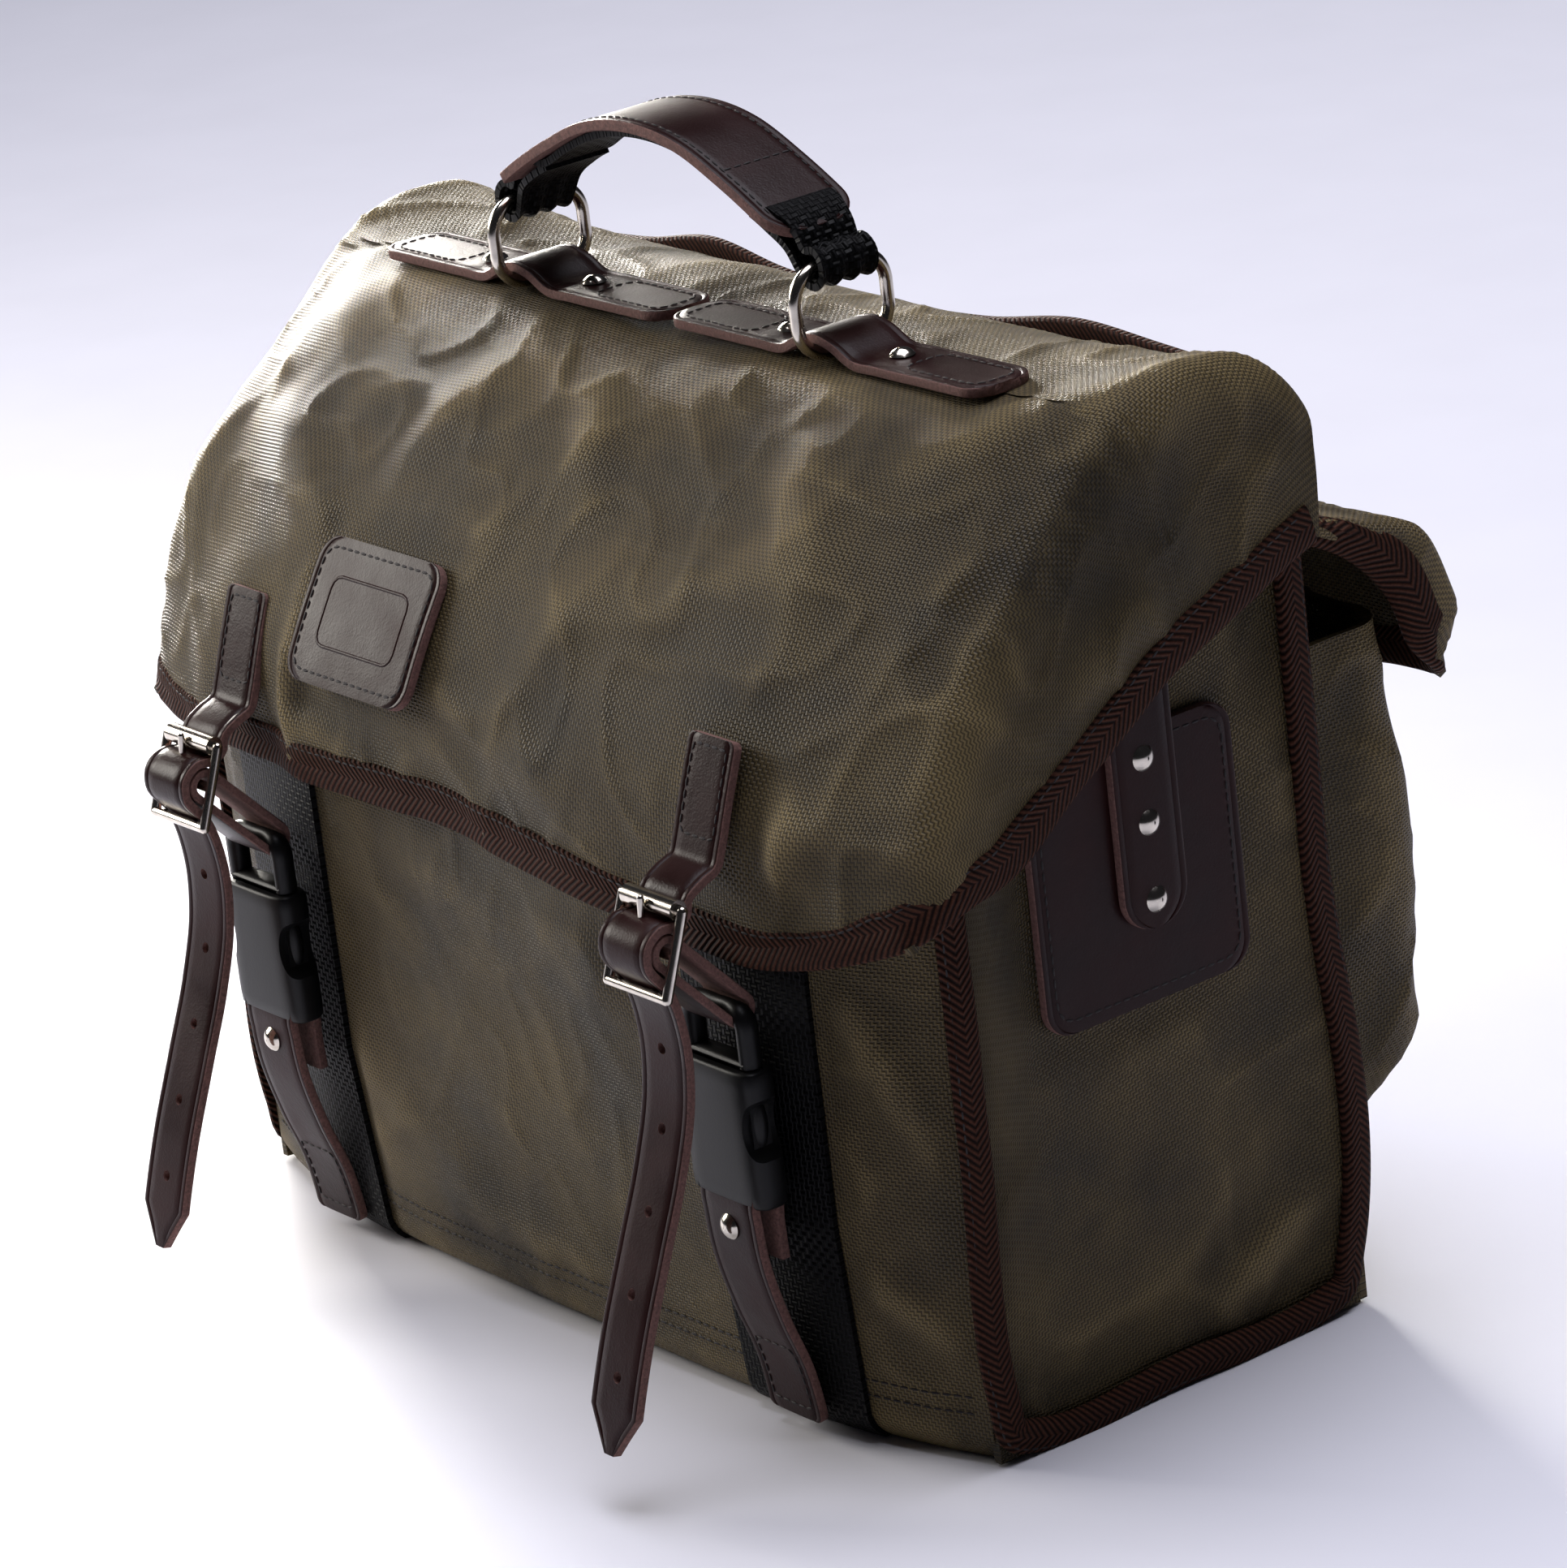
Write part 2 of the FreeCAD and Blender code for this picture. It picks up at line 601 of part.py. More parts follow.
def make_plug():
    """The clip's inner half: a slotted head and a middle tongue that guides it."""
    reach = clip_width / 2 - 2.5
    depth = clip_depth / 2 - 2
    top = socket_top + plug_height
    head = box(strap_x - reach, strap_x + reach, clip_y - depth, clip_y + depth, socket_top + 0.4, top)
    half_slot = strap_width / 2 + 0.6
    slot = box(strap_x - half_slot, strap_x + half_slot, clip_y - depth - 1, clip_y + depth + 1,
               socket_top + 4.4, top + 1)
    head = rounded_edges(head, depth * 0.6, V(1, 0, 0), lambda edge: edge.CenterOfMass.z > top - 0.5)
    head = head.cut(slot)
    bar = rod(plug_bar, V(strap_x - half_slot - 1, clip_y, plug_bar_z),
              V(strap_x + half_slot + 1, clip_y, plug_bar_z))
    tongue_depth = clip_depth / 2 - clip_wall - slide_fit
    tongue = box(strap_x - 2.5, strap_x + 2.5, clip_y - tongue_depth, clip_y + tongue_depth,
                 socket_top - arm_length + 2, socket_top + 1)
    return fused([head, bar, tongue])


def make_arm(side):
    """A springy arm of the plug, seen through the socket's side window."""
    outer = clip_width / 2 - clip_side - slide_fit
    depth = clip_depth / 2 - clip_wall - slide_fit
    xs = sorted((strap_x + side * outer, strap_x + side * (outer - arm_width)))
    arm = box(xs[0], xs[1], clip_y - depth, clip_y + depth, socket_top - arm_length, socket_top)
    return rounded_edges(arm, 1.5, V(0, 1, 0),
                         lambda edge: edge.CenterOfMass.z < socket_top - arm_length + 1)


def make_lower_strap():
    """Sewn to the foot of the front panel, up and round the socket's bar, and riveted to itself."""
    clear = socket_bar + strap_gap + leather / 2
    path = [(clip_y + clear + 0.4, clip_bottom * 0.77), (clip_y + clear, clip_bottom * 0.92)]
    path += [round_point((clip_y, bar_z), clear, a) for a in (0, 45, 90, 135, 180)]
    path += [(clip_y - clear, clip_bottom * 0.92), (clip_y - clear + 0.8, clip_bottom * 0.8)]
    for share, gap in ((0.53, 7.0), (0.3, 2.4), (0.15, 1.1), (0.05, 1.0)):
        z = clip_bottom * share
        path.append((webbing_face(z) - leather / 2 - strap_gap - gap, z))
    return band(path, leather, lower_strap_width, strap_x)


def make_tab():
    """The end of the strap that is sewn on the flap."""
    clear = leather / 2 + strap_gap
    y, z = pivot_at
    path = [(y + 6.5 - clear + 0.4, z + 27), (y + 2.6, z + 14), (y, z + swing_gap)]
    return band(path, leather, strap_width, strap_x)


def make_closures(nodes):
    both_sides(nodes, "strap_tab", make_tab())
    both_sides(nodes, "strap_tail", make_tail())
    nodes["right_buckle_frame"] = make_buckle_frame(strap_x)
    nodes["left_buckle_frame"] = make_buckle_frame(-strap_x)
    both_sides(nodes, "buckle_roller", make_roller())
    both_sides(nodes, "buckle_prong", make_prong())
    both_sides(nodes, "buckle_loop", make_loop())
    both_sides(nodes, "clip_socket", make_socket())
    both_sides(nodes, "clip_plug", make_plug())
    both_sides(nodes, "clip_outer_arm", make_arm(1))
    both_sides(nodes, "clip_inner_arm", make_arm(-1))
    both_sides(nodes, "lower_strap", make_lower_strap())

    face = clip_y - socket_bar - strap_gap - leather - 0.35
    head = dome(V(strap_x, face, clip_bottom * 0.9), V(0, -1, 0))
    nodes["lower_strap_rivets"] = Part.makeCompound([head, mirrored(head)])


# ---- handle ---------------------------------------------------------------
def make_ring():
    """An oval wire ring standing on its lower bar."""
    y_bend = ring_straight / 2
    side = y_bend + ring_bend
    parts = []
    for z, up in ((ring_low, 1), (ring_high, -1)):
        parts.append(rod(ring_wire, V(ring_x, handle_y - y_bend, z), V(ring_x, handle_y + y_bend, z)))
        for way in (-1, 1):
            centre = V(ring_x, handle_y + way * y_bend, z + up * ring_bend)
            corner = Part.makeTorus(ring_bend, ring_wire, centre, V(1, 0, 0))
            y0, y1 = sorted((centre.y, centre.y + way * (ring_bend + ring_wire + 1)))
            z0, z1 = sorted((centre.z, centre.z - up * (ring_bend + ring_wire + 1)))
            parts.append(corner.common(box(ring_x - 5, ring_x + 5, y0, y1, z0, z1)))
    for way in (-1, 1):
        parts.append(rod(ring_wire, V(ring_x, handle_y + way * side, ring_low + ring_bend),
                         V(ring_x, handle_y + way * side, ring_high - ring_bend)))
    return fused(parts)


def make_anchor():
    """A leather strip along the flap's top, arched over a ring's lower bar."""
    rest = flap_top + leather / 2 + 0.8
    crest = ring_low + ring_wire + 1.7 + leather / 2
    start = ring_x - anchor_length / 2
    end = ring_x + anchor_length / 2
    path = [(start, rest), (start + 22, rest), (ring_x - 28, rest), (ring_x - 16, rest + 0.3),
            (ring_x - 7, crest - 1.3), (ring_x, crest), (ring_x + 7, crest - 1.3),
            (ring_x + 16, rest + 0.3), (ring_x + 28, rest), (end - 22, rest), (end, rest)]
    strip = band(path, leather, anchor_width, handle_y, "Y")
    return rounded_edges(strip, 7, V(0, 0, 1))


def arch(half_span, foot, top, share=0.62):
    """Half of a handle's arch in (x, z), foot first."""
    rise = top - foot
    steps = ((1.0, 0.0), (share, 0.56), (0.32, 0.89), (0.0, 1.0))
    left = [(-half_span * a, foot + rise * b) for a, b in steps]
    return left + [(-x, z) for x, z in reversed(left[:-1])]


def make_handle(nodes):
    leather_path = arch(ring_x - handle_inset, handle_top - handle_drop, handle_top)
    nodes["handle_leather"] = band(leather_path, handle_leather, handle_width, handle_y, "Y")
    drop = (handle_leather + handle_web) / 2 + 0.05
    eye_outer = eye_inner + eye_wall
    web_path = beside(leather_path, -drop)
    foot = round_point((-ring_x, ring_high), eye_outer - 0.6, 58)
    web_path = [foot] + web_path + [(-foot[0], foot[1])]
    web = band(web_path, handle_web, handle_web_width, handle_y, "Y")
    y0 = handle_y - handle_web_width / 2
    parts = [web]
    for x in (-ring_x, ring_x):
        parts.append(Part.makeCylinder(eye_outer, handle_web_width, V(x, y0, ring_high), V(0, 1, 0)))
    whole = fused(parts)
    for x in (-ring_x, ring_x):
        whole = whole.cut(Part.makeCylinder(eye_inner, handle_web_width, V(x, y0, ring_high), V(0, 1, 0)))
    nodes["handle_webbing"] = whole


def make_handle_fixings(nodes):
    both_sides(nodes, "handle_ring", make_ring())
    both_sides(nodes, "handle_anchor", make_anchor())
    heads = []
    for reach in (-anchor_rivet_reach, anchor_rivet_reach):
        head = dome(V(ring_x + reach, handle_y, flap_top + leather + 1.0), V(0, 0, 1))
        heads += [head, mirrored(head)]
    nodes["anchor_rivets"] = Part.makeCompound(heads)


def main():
    nodes = {}
    make_body(nodes)
    make_side_patches(nodes)
    make_pocket(nodes)
    make_flap(nodes)
    make_badge(nodes)
    make_closures(nodes)
    make_handle_fixings(nodes)
    make_handle(nodes)
    os.makedirs("parts", exist_ok=True)
    for name, shape in nodes.items():
        if not shape.isValid():
            print("not valid:", name)
        print(f"{name:24s} solids {len(shape.Solids)}  volume {shape.Volume / 1000:8.2f} cm3")
        shape.exportStep(os.path.join("parts", name + ".step"))


main()
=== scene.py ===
import math

import bmesh
import bpy
import numpy as np
from mathutils import Matrix, Vector, noise


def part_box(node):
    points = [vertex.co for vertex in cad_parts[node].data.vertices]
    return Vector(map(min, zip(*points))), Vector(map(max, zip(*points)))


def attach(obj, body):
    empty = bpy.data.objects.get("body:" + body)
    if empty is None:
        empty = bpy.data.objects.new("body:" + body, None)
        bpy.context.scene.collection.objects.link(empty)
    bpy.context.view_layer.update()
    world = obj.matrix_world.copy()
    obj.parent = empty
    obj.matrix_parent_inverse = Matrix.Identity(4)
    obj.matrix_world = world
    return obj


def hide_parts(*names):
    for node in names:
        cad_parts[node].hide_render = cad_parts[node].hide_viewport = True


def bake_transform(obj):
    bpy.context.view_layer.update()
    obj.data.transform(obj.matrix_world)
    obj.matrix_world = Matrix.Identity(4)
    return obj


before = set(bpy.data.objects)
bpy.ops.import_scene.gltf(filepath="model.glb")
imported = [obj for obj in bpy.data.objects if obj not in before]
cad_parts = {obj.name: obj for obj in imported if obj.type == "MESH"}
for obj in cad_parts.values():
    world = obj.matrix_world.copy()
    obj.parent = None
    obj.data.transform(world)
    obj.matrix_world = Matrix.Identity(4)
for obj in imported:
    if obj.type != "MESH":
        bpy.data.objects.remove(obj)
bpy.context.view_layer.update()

bl_info = {
    "name": "Waxed canvas saddlebag",
    "version": (1, 0, 0),
    "blender": (4, 5, 0),
    "location": "3D View > Sidebar > Saddlebag",
    "description": "Builds the soft parts and finishes of a canvas saddlebag round its packed frame",
    "category": "Object",
}

MM = 0.001


# ---- colours and sizes ------------------------------------------------------
def linear(code):
    """An sRGB hex colour as linear red, green and blue."""
    parts = [int(code[n:n + 2], 16) / 255 for n in (1, 3, 5)]
    return tuple(c / 12.92 if c <= 0.04045 else ((c + 0.055) / 1.055) ** 2.4 for c in parts)


def length(name, description, value):
    return bpy.props.FloatProperty(name=name, description=description, default=value * MM,
                                   min=0.0, unit="LENGTH", precision=5)


def colour(name, description, code):
    return bpy.props.FloatVectorProperty(name=name, description=description, size=3,
                                         default=linear(code), subtype="COLOR", min=0, max=1)


class SaddlebagSizes(bpy.types.PropertyGroup):
    """Sizes of the soft parts"""
    canvas: length("Canvas", "Thickness of the doubled canvas", 2.6)
    weave: length("Weave pitch", "From one canvas thread to the next", 1.15)
    dents: length("Dents", "Depth of the broad dents in the canvas", 3.6)
    creases: length("Creases", "Height of the sharp creases in the canvas", 2.0)
    tape: length("Tape width", "Width of the folded binding on each side of an edge", 12.5)
    strap: length("Strap width", "Width of the closure straps", 22.0)
    leather: length("Leather", "Thickness of the strap leather", 3.0)
    stitch: length("Stitch", "From one stitch to the next", 3.6)
    webbing: length("Webbing width", "Width of the webbing on the front", 50.0)


class SaddlebagColours(bpy.types.PropertyGroup):
    """Colours of the finishes"""
    canvas_dark: colour("Canvas, waxed", "Canvas where the wax is thick", "#2c2516")
    canvas_mid: colour("Canvas", "Canvas over most of the bag", "#50442b")
    canvas_worn: colour("Canvas, worn", "Canvas where creases rub the wax away", "#7d6d4a")
    leather: colour("Leather", "Grain side of the straps", "#230d0c")
    leather_edge: colour("Leather edge", "Raw cut edge of the straps", "#6e4d46")
    tape: colour("Binding tape", "Herringbone tape on the edges", "#341e15")
    webbing: colour("Webbing", "Woven straps", "#070708")
    thread: colour("Thread", "Sewing thread", "#150d0d")
    nickel: colour("Nickel", "Plated buckles, rings and rivets", "#cfc8bd")
    plastic: colour("Clip", "Moulded clips", "#09090a")
    board: colour("Board", "Stiffening boards", "#6f6654")
    floor: colour("Floor", "Studio floor", "#eeeef6")


class SaddlebagStage(bpy.types.PropertyGroup):
    """Camera and lights"""
    lens: bpy.props.FloatProperty(name="Lens", description="Focal length in millimetres on a 36 mm sensor",
                                  default=152.27, min=20)
    distance: length("Distance", "From the camera to the point it looks at", 2037.1)
    turn: bpy.props.FloatProperty(name="Turn", description="Camera azimuth", default=0.944715,
                                  subtype="ANGLE")
    lift: bpy.props.FloatProperty(name="Lift", description="Camera elevation", default=0.340163,
                                  subtype="ANGLE")
    roll: bpy.props.FloatProperty(name="Roll", description="Camera roll", default=0.119779,
                                  subtype="ANGLE")
    key: bpy.props.FloatProperty(name="Key light", description="Power of the left softbox in watts",
                                 default=14.0, min=0)
    rim: bpy.props.FloatProperty(name="Rim light", description="Power of the light at the bag's left end in watts",
                                 default=7.0, min=0)
    top: bpy.props.FloatProperty(name="Top light", description="Power of the overhead light in watts",
                                 default=138.0, min=0)
    world: bpy.props.FloatProperty(name="World", description="Strength of the surrounding light",
                                   default=0.02, min=0)


# ---- materials --------------------------------------------------------------
def add(tree, kind, values=None, links=None, **settings):
    """Adds one shader node with its settings, input values and links."""
    made = tree.nodes.new("ShaderNode" + kind)
    for key, value in settings.items():
        setattr(made, key, value)
    for key, value in (values or {}).items():
        made.inputs[key].default_value = value
    for key, source in (links or {}).items():
        tree.links.new(source, made.inputs[key])
    return made


def blank(name, **values):
    """A new material, its tree and its Principled shader."""
    made = bpy.data.materials.new(name)
    made.use_nodes = True
    shader = made.node_tree.nodes["Principled BSDF"]
    for key, value in values.items():
        shader.inputs[key.replace("_", " ")].default_value = value
    return made, made.node_tree, shader


def rgba(value):
    return (*value, 1.0)


def ramp(tree, source, stops):
    """A colour ramp fed by source, with stops of (position, colour)."""
    made = add(tree, "ValToRGB", links={"Fac": source})
    bar = made.color_ramp
    while len(bar.elements) < len(stops):
        bar.elements.new(0.5)
    for element, (where, shade) in zip(bar.elements, stops):
        element.position = where
        element.color = shade if len(shade) == 4 else rgba(shade)
    return made.outputs["Color"]


def weave(tree, pitch):
    """Height of a plain weave on the UV map, which is in metres."""
    uv = add(tree, "UVMap", uv_map="flat").outputs["UV"]
    warp, weft = [add(tree, "TexWave", {"Scale": 0.31416 / pitch, "Phase Offset": -1.5708,
                                        "Distortion": 0.7, "Detail": 1.0, "Detail Scale": 0.35},
                      {"Vector": uv}, bands_direction=way).outputs["Fac"] for way in "XY"]
    over = add(tree, "TexChecker", {"Scale": 1 / pitch}, {"Vector": uv}).outputs["Fac"]
    return add(tree, "Mix", links={"Factor": over, "A": warp, "B": weft}).outputs["Result"]


def canvas_material(c, sizes):
    """Waxed cotton duck, calendered and hand waxed: a coarse plain weave that shines softly where the
    wax fills it, and goes pale and yellow where folding has cracked the wax."""
    made, tree, shader = blank("waxed_cotton_duck", Specular_IOR_Level=0.27)
    place = add(tree, "TexCoord").outputs["Object"]
    cloud = add(tree, "TexNoise", {"Scale": 17.0, "Detail": 6.0, "Roughness": 0.62},
                {"Vector": place}).outputs["Fac"]
    body = ramp(tree, cloud, [(0.28, c.canvas_dark), (0.5, c.canvas_mid), (0.95, c.canvas_worn)])
    crack = add(tree, "TexNoise", {"Scale": 21.0, "Detail": 5.0, "Roughness": 0.55, "Distortion": 1.1},
                {"Vector": place}, noise_type="RIDGED_MULTIFRACTAL").outputs["Fac"]
    worn = ramp(tree, crack, [(0.80, (0, 0, 0)), (1.40, (0.8, 0.8, 0.8))])
    stands = add(tree, "Attribute", attribute_name="crest_wear_and_hollow_shade").outputs["Fac"]
    crest = add(tree, "MapRange", {"From Min": 0.22, "From Max": 1.3, "To Max": 0.75}, {"Value": stands}).outputs["Result"]
    patchy = add(tree, "MapRange", {"From Min": 0.35, "From Max": 0.6}, {"Value": cloud}).outputs["Result"]
    folds = add(tree, "Math", links={0: crest, 1: patchy}, operation="MULTIPLY").outputs["Value"]
    share = add(tree, "Math", links={0: worn, 1: folds}, operation="MAXIMUM").outputs["Value"]
    # painted shade: the canvas is darkened in the hollows between folds, to 0.72 where it sinks 0.9 mm below the
    # sheet around it
    painted_hollow_shade = add(tree, "MapRange", {"From Min": -0.9, "From Max": 0.0, "To Min": 0.72}, {"Value": stands})
    low = add(tree, "MixRGB", {"Fac": 1.0}, {"Color1": body, "Color2": painted_hollow_shade.outputs["Result"]},
              blend_type="MULTIPLY").outputs["Color"]
    rubbed = rubbed_colour(tree, share, low, c.canvas_worn)
    height = weave(tree, sizes.weave)
    # painted shade and highlight: the weave's gaps are darkened to 0.35 and the thread tops lightened to 1.25 of
    # the colour
    shade = ramp(tree, height, [(0.05, (0.35, 0.34, 0.32)), (0.6, (1.0, 1.0, 1.0)), (1.0, (1.25, 1.22, 1.1))])
    final = add(tree, "MixRGB", {"Fac": 1.0}, {"Color1": rubbed, "Color2": shade},
                blend_type="MULTIPLY").outputs["Color"]
    tree.links.new(final, shader.inputs["Base Color"])
    gloss = add(tree, "MapRange", {"From Min": 0.3, "From Max": 0.7, "To Min": 0.50, "To Max": 0.64},
                {"Value": cloud}).outputs["Result"]
    tree.links.new(gloss, shader.inputs["Roughness"])
    pucker = add(tree, "TexNoise", {"Scale": 120.0, "Detail": 3.0}, {"Vector": place}).outputs["Fac"]
    soft = add(tree, "Bump", {"Strength": 0.35, "Distance": 0.0012}, {"Height": pucker}).outputs["Normal"]
    bump = add(tree, "Bump", {"Strength": 0.9, "Distance": 0.00045},
               {"Height": height, "Normal": soft}).outputs["Normal"]
    tree.links.new(bump, shader.inputs["Normal"])
    return made


def rubbed_colour(tree, share, body, worn):
    """body with the worn colour mixed in by share."""
    return add(tree, "MixRGB", {"Color2": rgba(worn)}, {"Fac": share, "Color1": body}).outputs["Color"]


def leather_material(c):
    """Bridle leather, drum dyed, waxed and plated: fine pebbled grain under a smooth wax shine."""
    made, tree, shader = blank("waxed_bridle_leather", Specular_IOR_Level=0.13)
    place = add(tree, "TexCoord").outputs["Object"]
    blush = add(tree, "TexNoise", {"Scale": 38.0, "Detail": 4.0}, {"Vector": place}).outputs["Fac"]
    dark, light = [tuple(v * k for v in c.leather) for k in (0.72, 1.45)]
    tone = ramp(tree, blush, [(0.3, dark), (0.55, tuple(c.leather)), (0.78, light)])
    tree.links.new(tone, shader.inputs["Base Color"])
    pebble = add(tree, "TexVoronoi", {"Scale": 1500.0}, {"Vector": place},
                 feature="SMOOTH_F1").outputs["Distance"]
    pores = add(tree, "TexNoise", {"Scale": 700.0, "Detail": 3.0}, {"Vector": place}).outputs["Fac"]
    grain = add(tree, "Math", links={0: pebble, 1: pores}, operation="ADD").outputs["Value"]
    fold = add(tree, "TexNoise", {"Scale": 90.0, "Detail": 2.0}, {"Vector": place}).outputs["Fac"]
    wave = add(tree, "Bump", {"Strength": 0.25, "Distance": 0.0006}, {"Height": fold}).outputs["Normal"]
    bump = add(tree, "Bump", {"Strength": 0.35, "Distance": 0.00012},
               {"Height": grain, "Normal": wave}).outputs["Normal"]
    tree.links.new(bump, shader.inputs["Normal"])
    rough = add(tree, "MapRange", {"From Min": 0.3, "From Max": 0.7, "To Min": 0.30, "To Max": 0.46},
                {"Value": blush}).outputs["Result"]
    tree.links.new(rough, shader.inputs["Roughness"])
    return made


def edge_material(c):
    """Leather cut with a strap knife and left raw: pale matted fibres, so the edge reads fuzzy."""
    made, tree, shader = blank("raw_cut_leather_edge", Roughness=0.85)
    place = add(tree, "TexCoord").outputs["Object"]
    fibre = add(tree, "TexNoise", {"Scale": 900.0, "Detail": 5.0, "Roughness": 0.7},
                {"Vector": place}).outputs["Fac"]
    dark, light = [tuple(v * k for v in c.leather_edge) for k in (0.45, 1.35)]
    tree.links.new(ramp(tree, fibre, [(0.3, dark), (0.7, light)]), shader.inputs["Base Color"])
    bump = add(tree, "Bump", {"Strength": 0.9, "Distance": 0.0005}, {"Height": fibre}).outputs["Normal"]
    tree.links.new(bump, shader.inputs["Normal"])
    return made


def woven_material(name, shade, pitch, chevron, rough, depth):
    """A woven tape or strap. With chevron its ribs run in two slants that meet in the middle."""
    made, tree, shader = blank(name, Roughness=rough, Specular_IOR_Level=0.1)
    uv = add(tree, "UVMap", uv_map="flat").outputs["UV"]
    if chevron:
        parts = add(tree, "SeparateXYZ", links={"Vector": uv})
        side = add(tree, "Math", links={0: parts.outputs["X"]}, operation="ABSOLUTE").outputs["Value"]
        uv = add(tree, "CombineXYZ", links={"X": side, "Y": parts.outputs["Y"]}).outputs["Vector"]
        rib = add(tree, "TexWave", {"Scale": 0.62832 / pitch / 1.414, "Distortion": 0.4, "Detail": 1.0},
                  {"Vector": uv}, bands_direction="DIAGONAL").outputs["Fac"]
        height = rib
    else:
        height = weave(tree, pitch)
    place = add(tree, "TexCoord").outputs["Object"]
    fluff = add(tree, "TexNoise", {"Scale": 1100.0, "Detail": 2.0}, {"Vector": place}).outputs["Fac"]
    # painted shade and highlight: the colour runs from 0.25 in the rib troughs to 1.9 on the rib tops
    dark, light = [tuple(v * k for v in shade) for k in (0.25, 1.9)]
    tone = ramp(tree, height, [(0.1, dark), (0.8, light)])
    speck = ramp(tree, fluff, [(0.3, (0.7, 0.7, 0.7)), (0.75, (1.3, 1.3, 1.3))])
    final = add(tree, "MixRGB", {"Fac": 1.0}, {"Color1": tone, "Color2": speck},
                blend_type="MULTIPLY").outputs["Color"]
    tree.links.new(final, shader.inputs["Base Color"])
    bump = add(tree, "Bump", {"Strength": 0.9, "Distance": depth}, {"Height": height}).outputs["Normal"]
    tree.links.new(bump, shader.inputs["Normal"])
    return made


def plain_material(name, shade, scale, strength, depth, spread=(0.8, 1.25), **values):
    """A finish with one fine noise that moves both its colour and its relief a little."""
    made, tree, shader = blank(name, **values)
    place = add(tree, "TexCoord").outputs["Object"]
    grain = add(tree, "TexNoise", {"Scale": scale, "Detail": 4.0}, {"Vector": place}).outputs["Fac"]
    dark, light = [tuple(min(v * k, 1.0) for v in shade) for k in spread]
    tree.links.new(ramp(tree, grain, [(0.3, dark), (0.7, light)]), shader.inputs["Base Color"])
    bump = add(tree, "Bump", {"Strength": strength, "Distance": depth}, {"Height": grain})
    tree.links.new(bump.outputs["Normal"], shader.inputs["Normal"])
    return made


def finish(name):
    """The named material, made the first time it is asked for."""
    scene = bpy.context.scene
    c, sizes = scene.saddlebag_colours, scene.saddlebag_sizes
    makers = {
        "waxed_cotton_duck": lambda: canvas_material(c, sizes),
        "waxed_bridle_leather": lambda: leather_material(c),
        "raw_cut_leather_edge": lambda: edge_material(c),
        # cotton herringbone tape, woven and dyed: matt, its slanted ribs painted lighter on their tops and darker
        # in their troughs, as painted highlight and shade, in turns
        "herringbone_cotton_tape": lambda: woven_material("herringbone_cotton_tape", c.tape, 1.7 * MM,
                                                          True, 0.75, 0.0007),
        # woven polypropylene: round hard ribs, with painted highlights on the rib tops as small glints on black
        "woven_polypropylene": lambda: woven_material("woven_polypropylene", c.webbing, 1.9 * MM,
                                                      False, 0.5, 0.0006),
        # waxed linen thread, twisted: nearly black and dull
        "waxed_linen_thread": lambda: plain_material("waxed_linen_thread", c.thread, 1500, 0.5, 0.0002,
                                                     Roughness=0.7),
        # nickel plate, barrel polished: mirror-like with faint rubbing
        "polished_nickel_plate": lambda: plain_material("polished_nickel_plate", c.nickel, 260, 0.05,
                                                        0.0001, (0.85, 1.08), Metallic=1.0,
                                                        Roughness=0.17),
        # acetal, moulded in a spark-eroded tool: black with a fine even grain and a soft shine
        "moulded_acetal": lambda: plain_material("moulded_acetal", c.plastic, 1600, 0.25, 0.0001,
                                                 Roughness=0.42, Specular_IOR_Level=0.22),
        # pressed fibre board: dull, flecked
        "pressed_fibre_board": lambda: plain_material("pressed_fibre_board", c.board, 300, 0.4, 0.0004,
                                                      (0.6, 1.3), Roughness=0.9),
        # painted paper roll: even and matt
        "matt_paper_roll": lambda: plain_material("matt_paper_roll", c.floor, 14, 0.02, 0.0005,
                                                  (0.985, 1.01), Roughness=0.62),
    }
    found = bpy.data.materials.get(name)
    return found or makers[name]()


# ---- geometry tools, in millimetres ----------------------------------------
def curve(points, step=None, count=None):
    """A smooth line through the points, evenly spaced along its length."""
    p = np.array(points, float)
    chord = np.maximum(np.linalg.norm(np.diff(p, axis=0), axis=1), 0.3)
    knots = np.concatenate([[0], np.cumsum(chord)])
    slope = np.gradient(p, knots, axis=0, edge_order=2 if len(p) > 2 else 1)
    fine = np.linspace(0, knots[-1], 24 * len(p))
    k = np.clip(np.searchsorted(knots, fine, side="right") - 1, 0, len(p) - 2)
    h = (knots[k + 1] - knots[k])[:, None]
    u = ((fine - knots[k])[:, None]) / h
    line = ((2 * u**3 - 3 * u**2 + 1) * p[k] + (u**3 - 2 * u**2 + u) * h * slope[k]
            + (3 * u**2 - 2 * u**3) * p[k + 1] + (u**3 - u**2) * h * slope[k + 1])
    run = run_length(line)
    if count is None:
        count = max(int(round(run[-1] / step)) + 1, 4)
    want = np.linspace(0, run[-1], count)
    return sample(line, run, want)


def run_length(line):
    """Distance along a line of points, from its start."""
    return np.concatenate([[0], np.cumsum(np.linalg.norm(np.diff(line, axis=0), axis=1))])


def sample(line, run, want):
    """Points of a line at the wanted distances."""
    return np.stack([np.interp(want, run, line[:, n]) for n in range(line.shape[1])], axis=1)


def unit(v):
    return v / np.maximum(np.linalg.norm(v, axis=-1, keepdims=True), 1e-9)


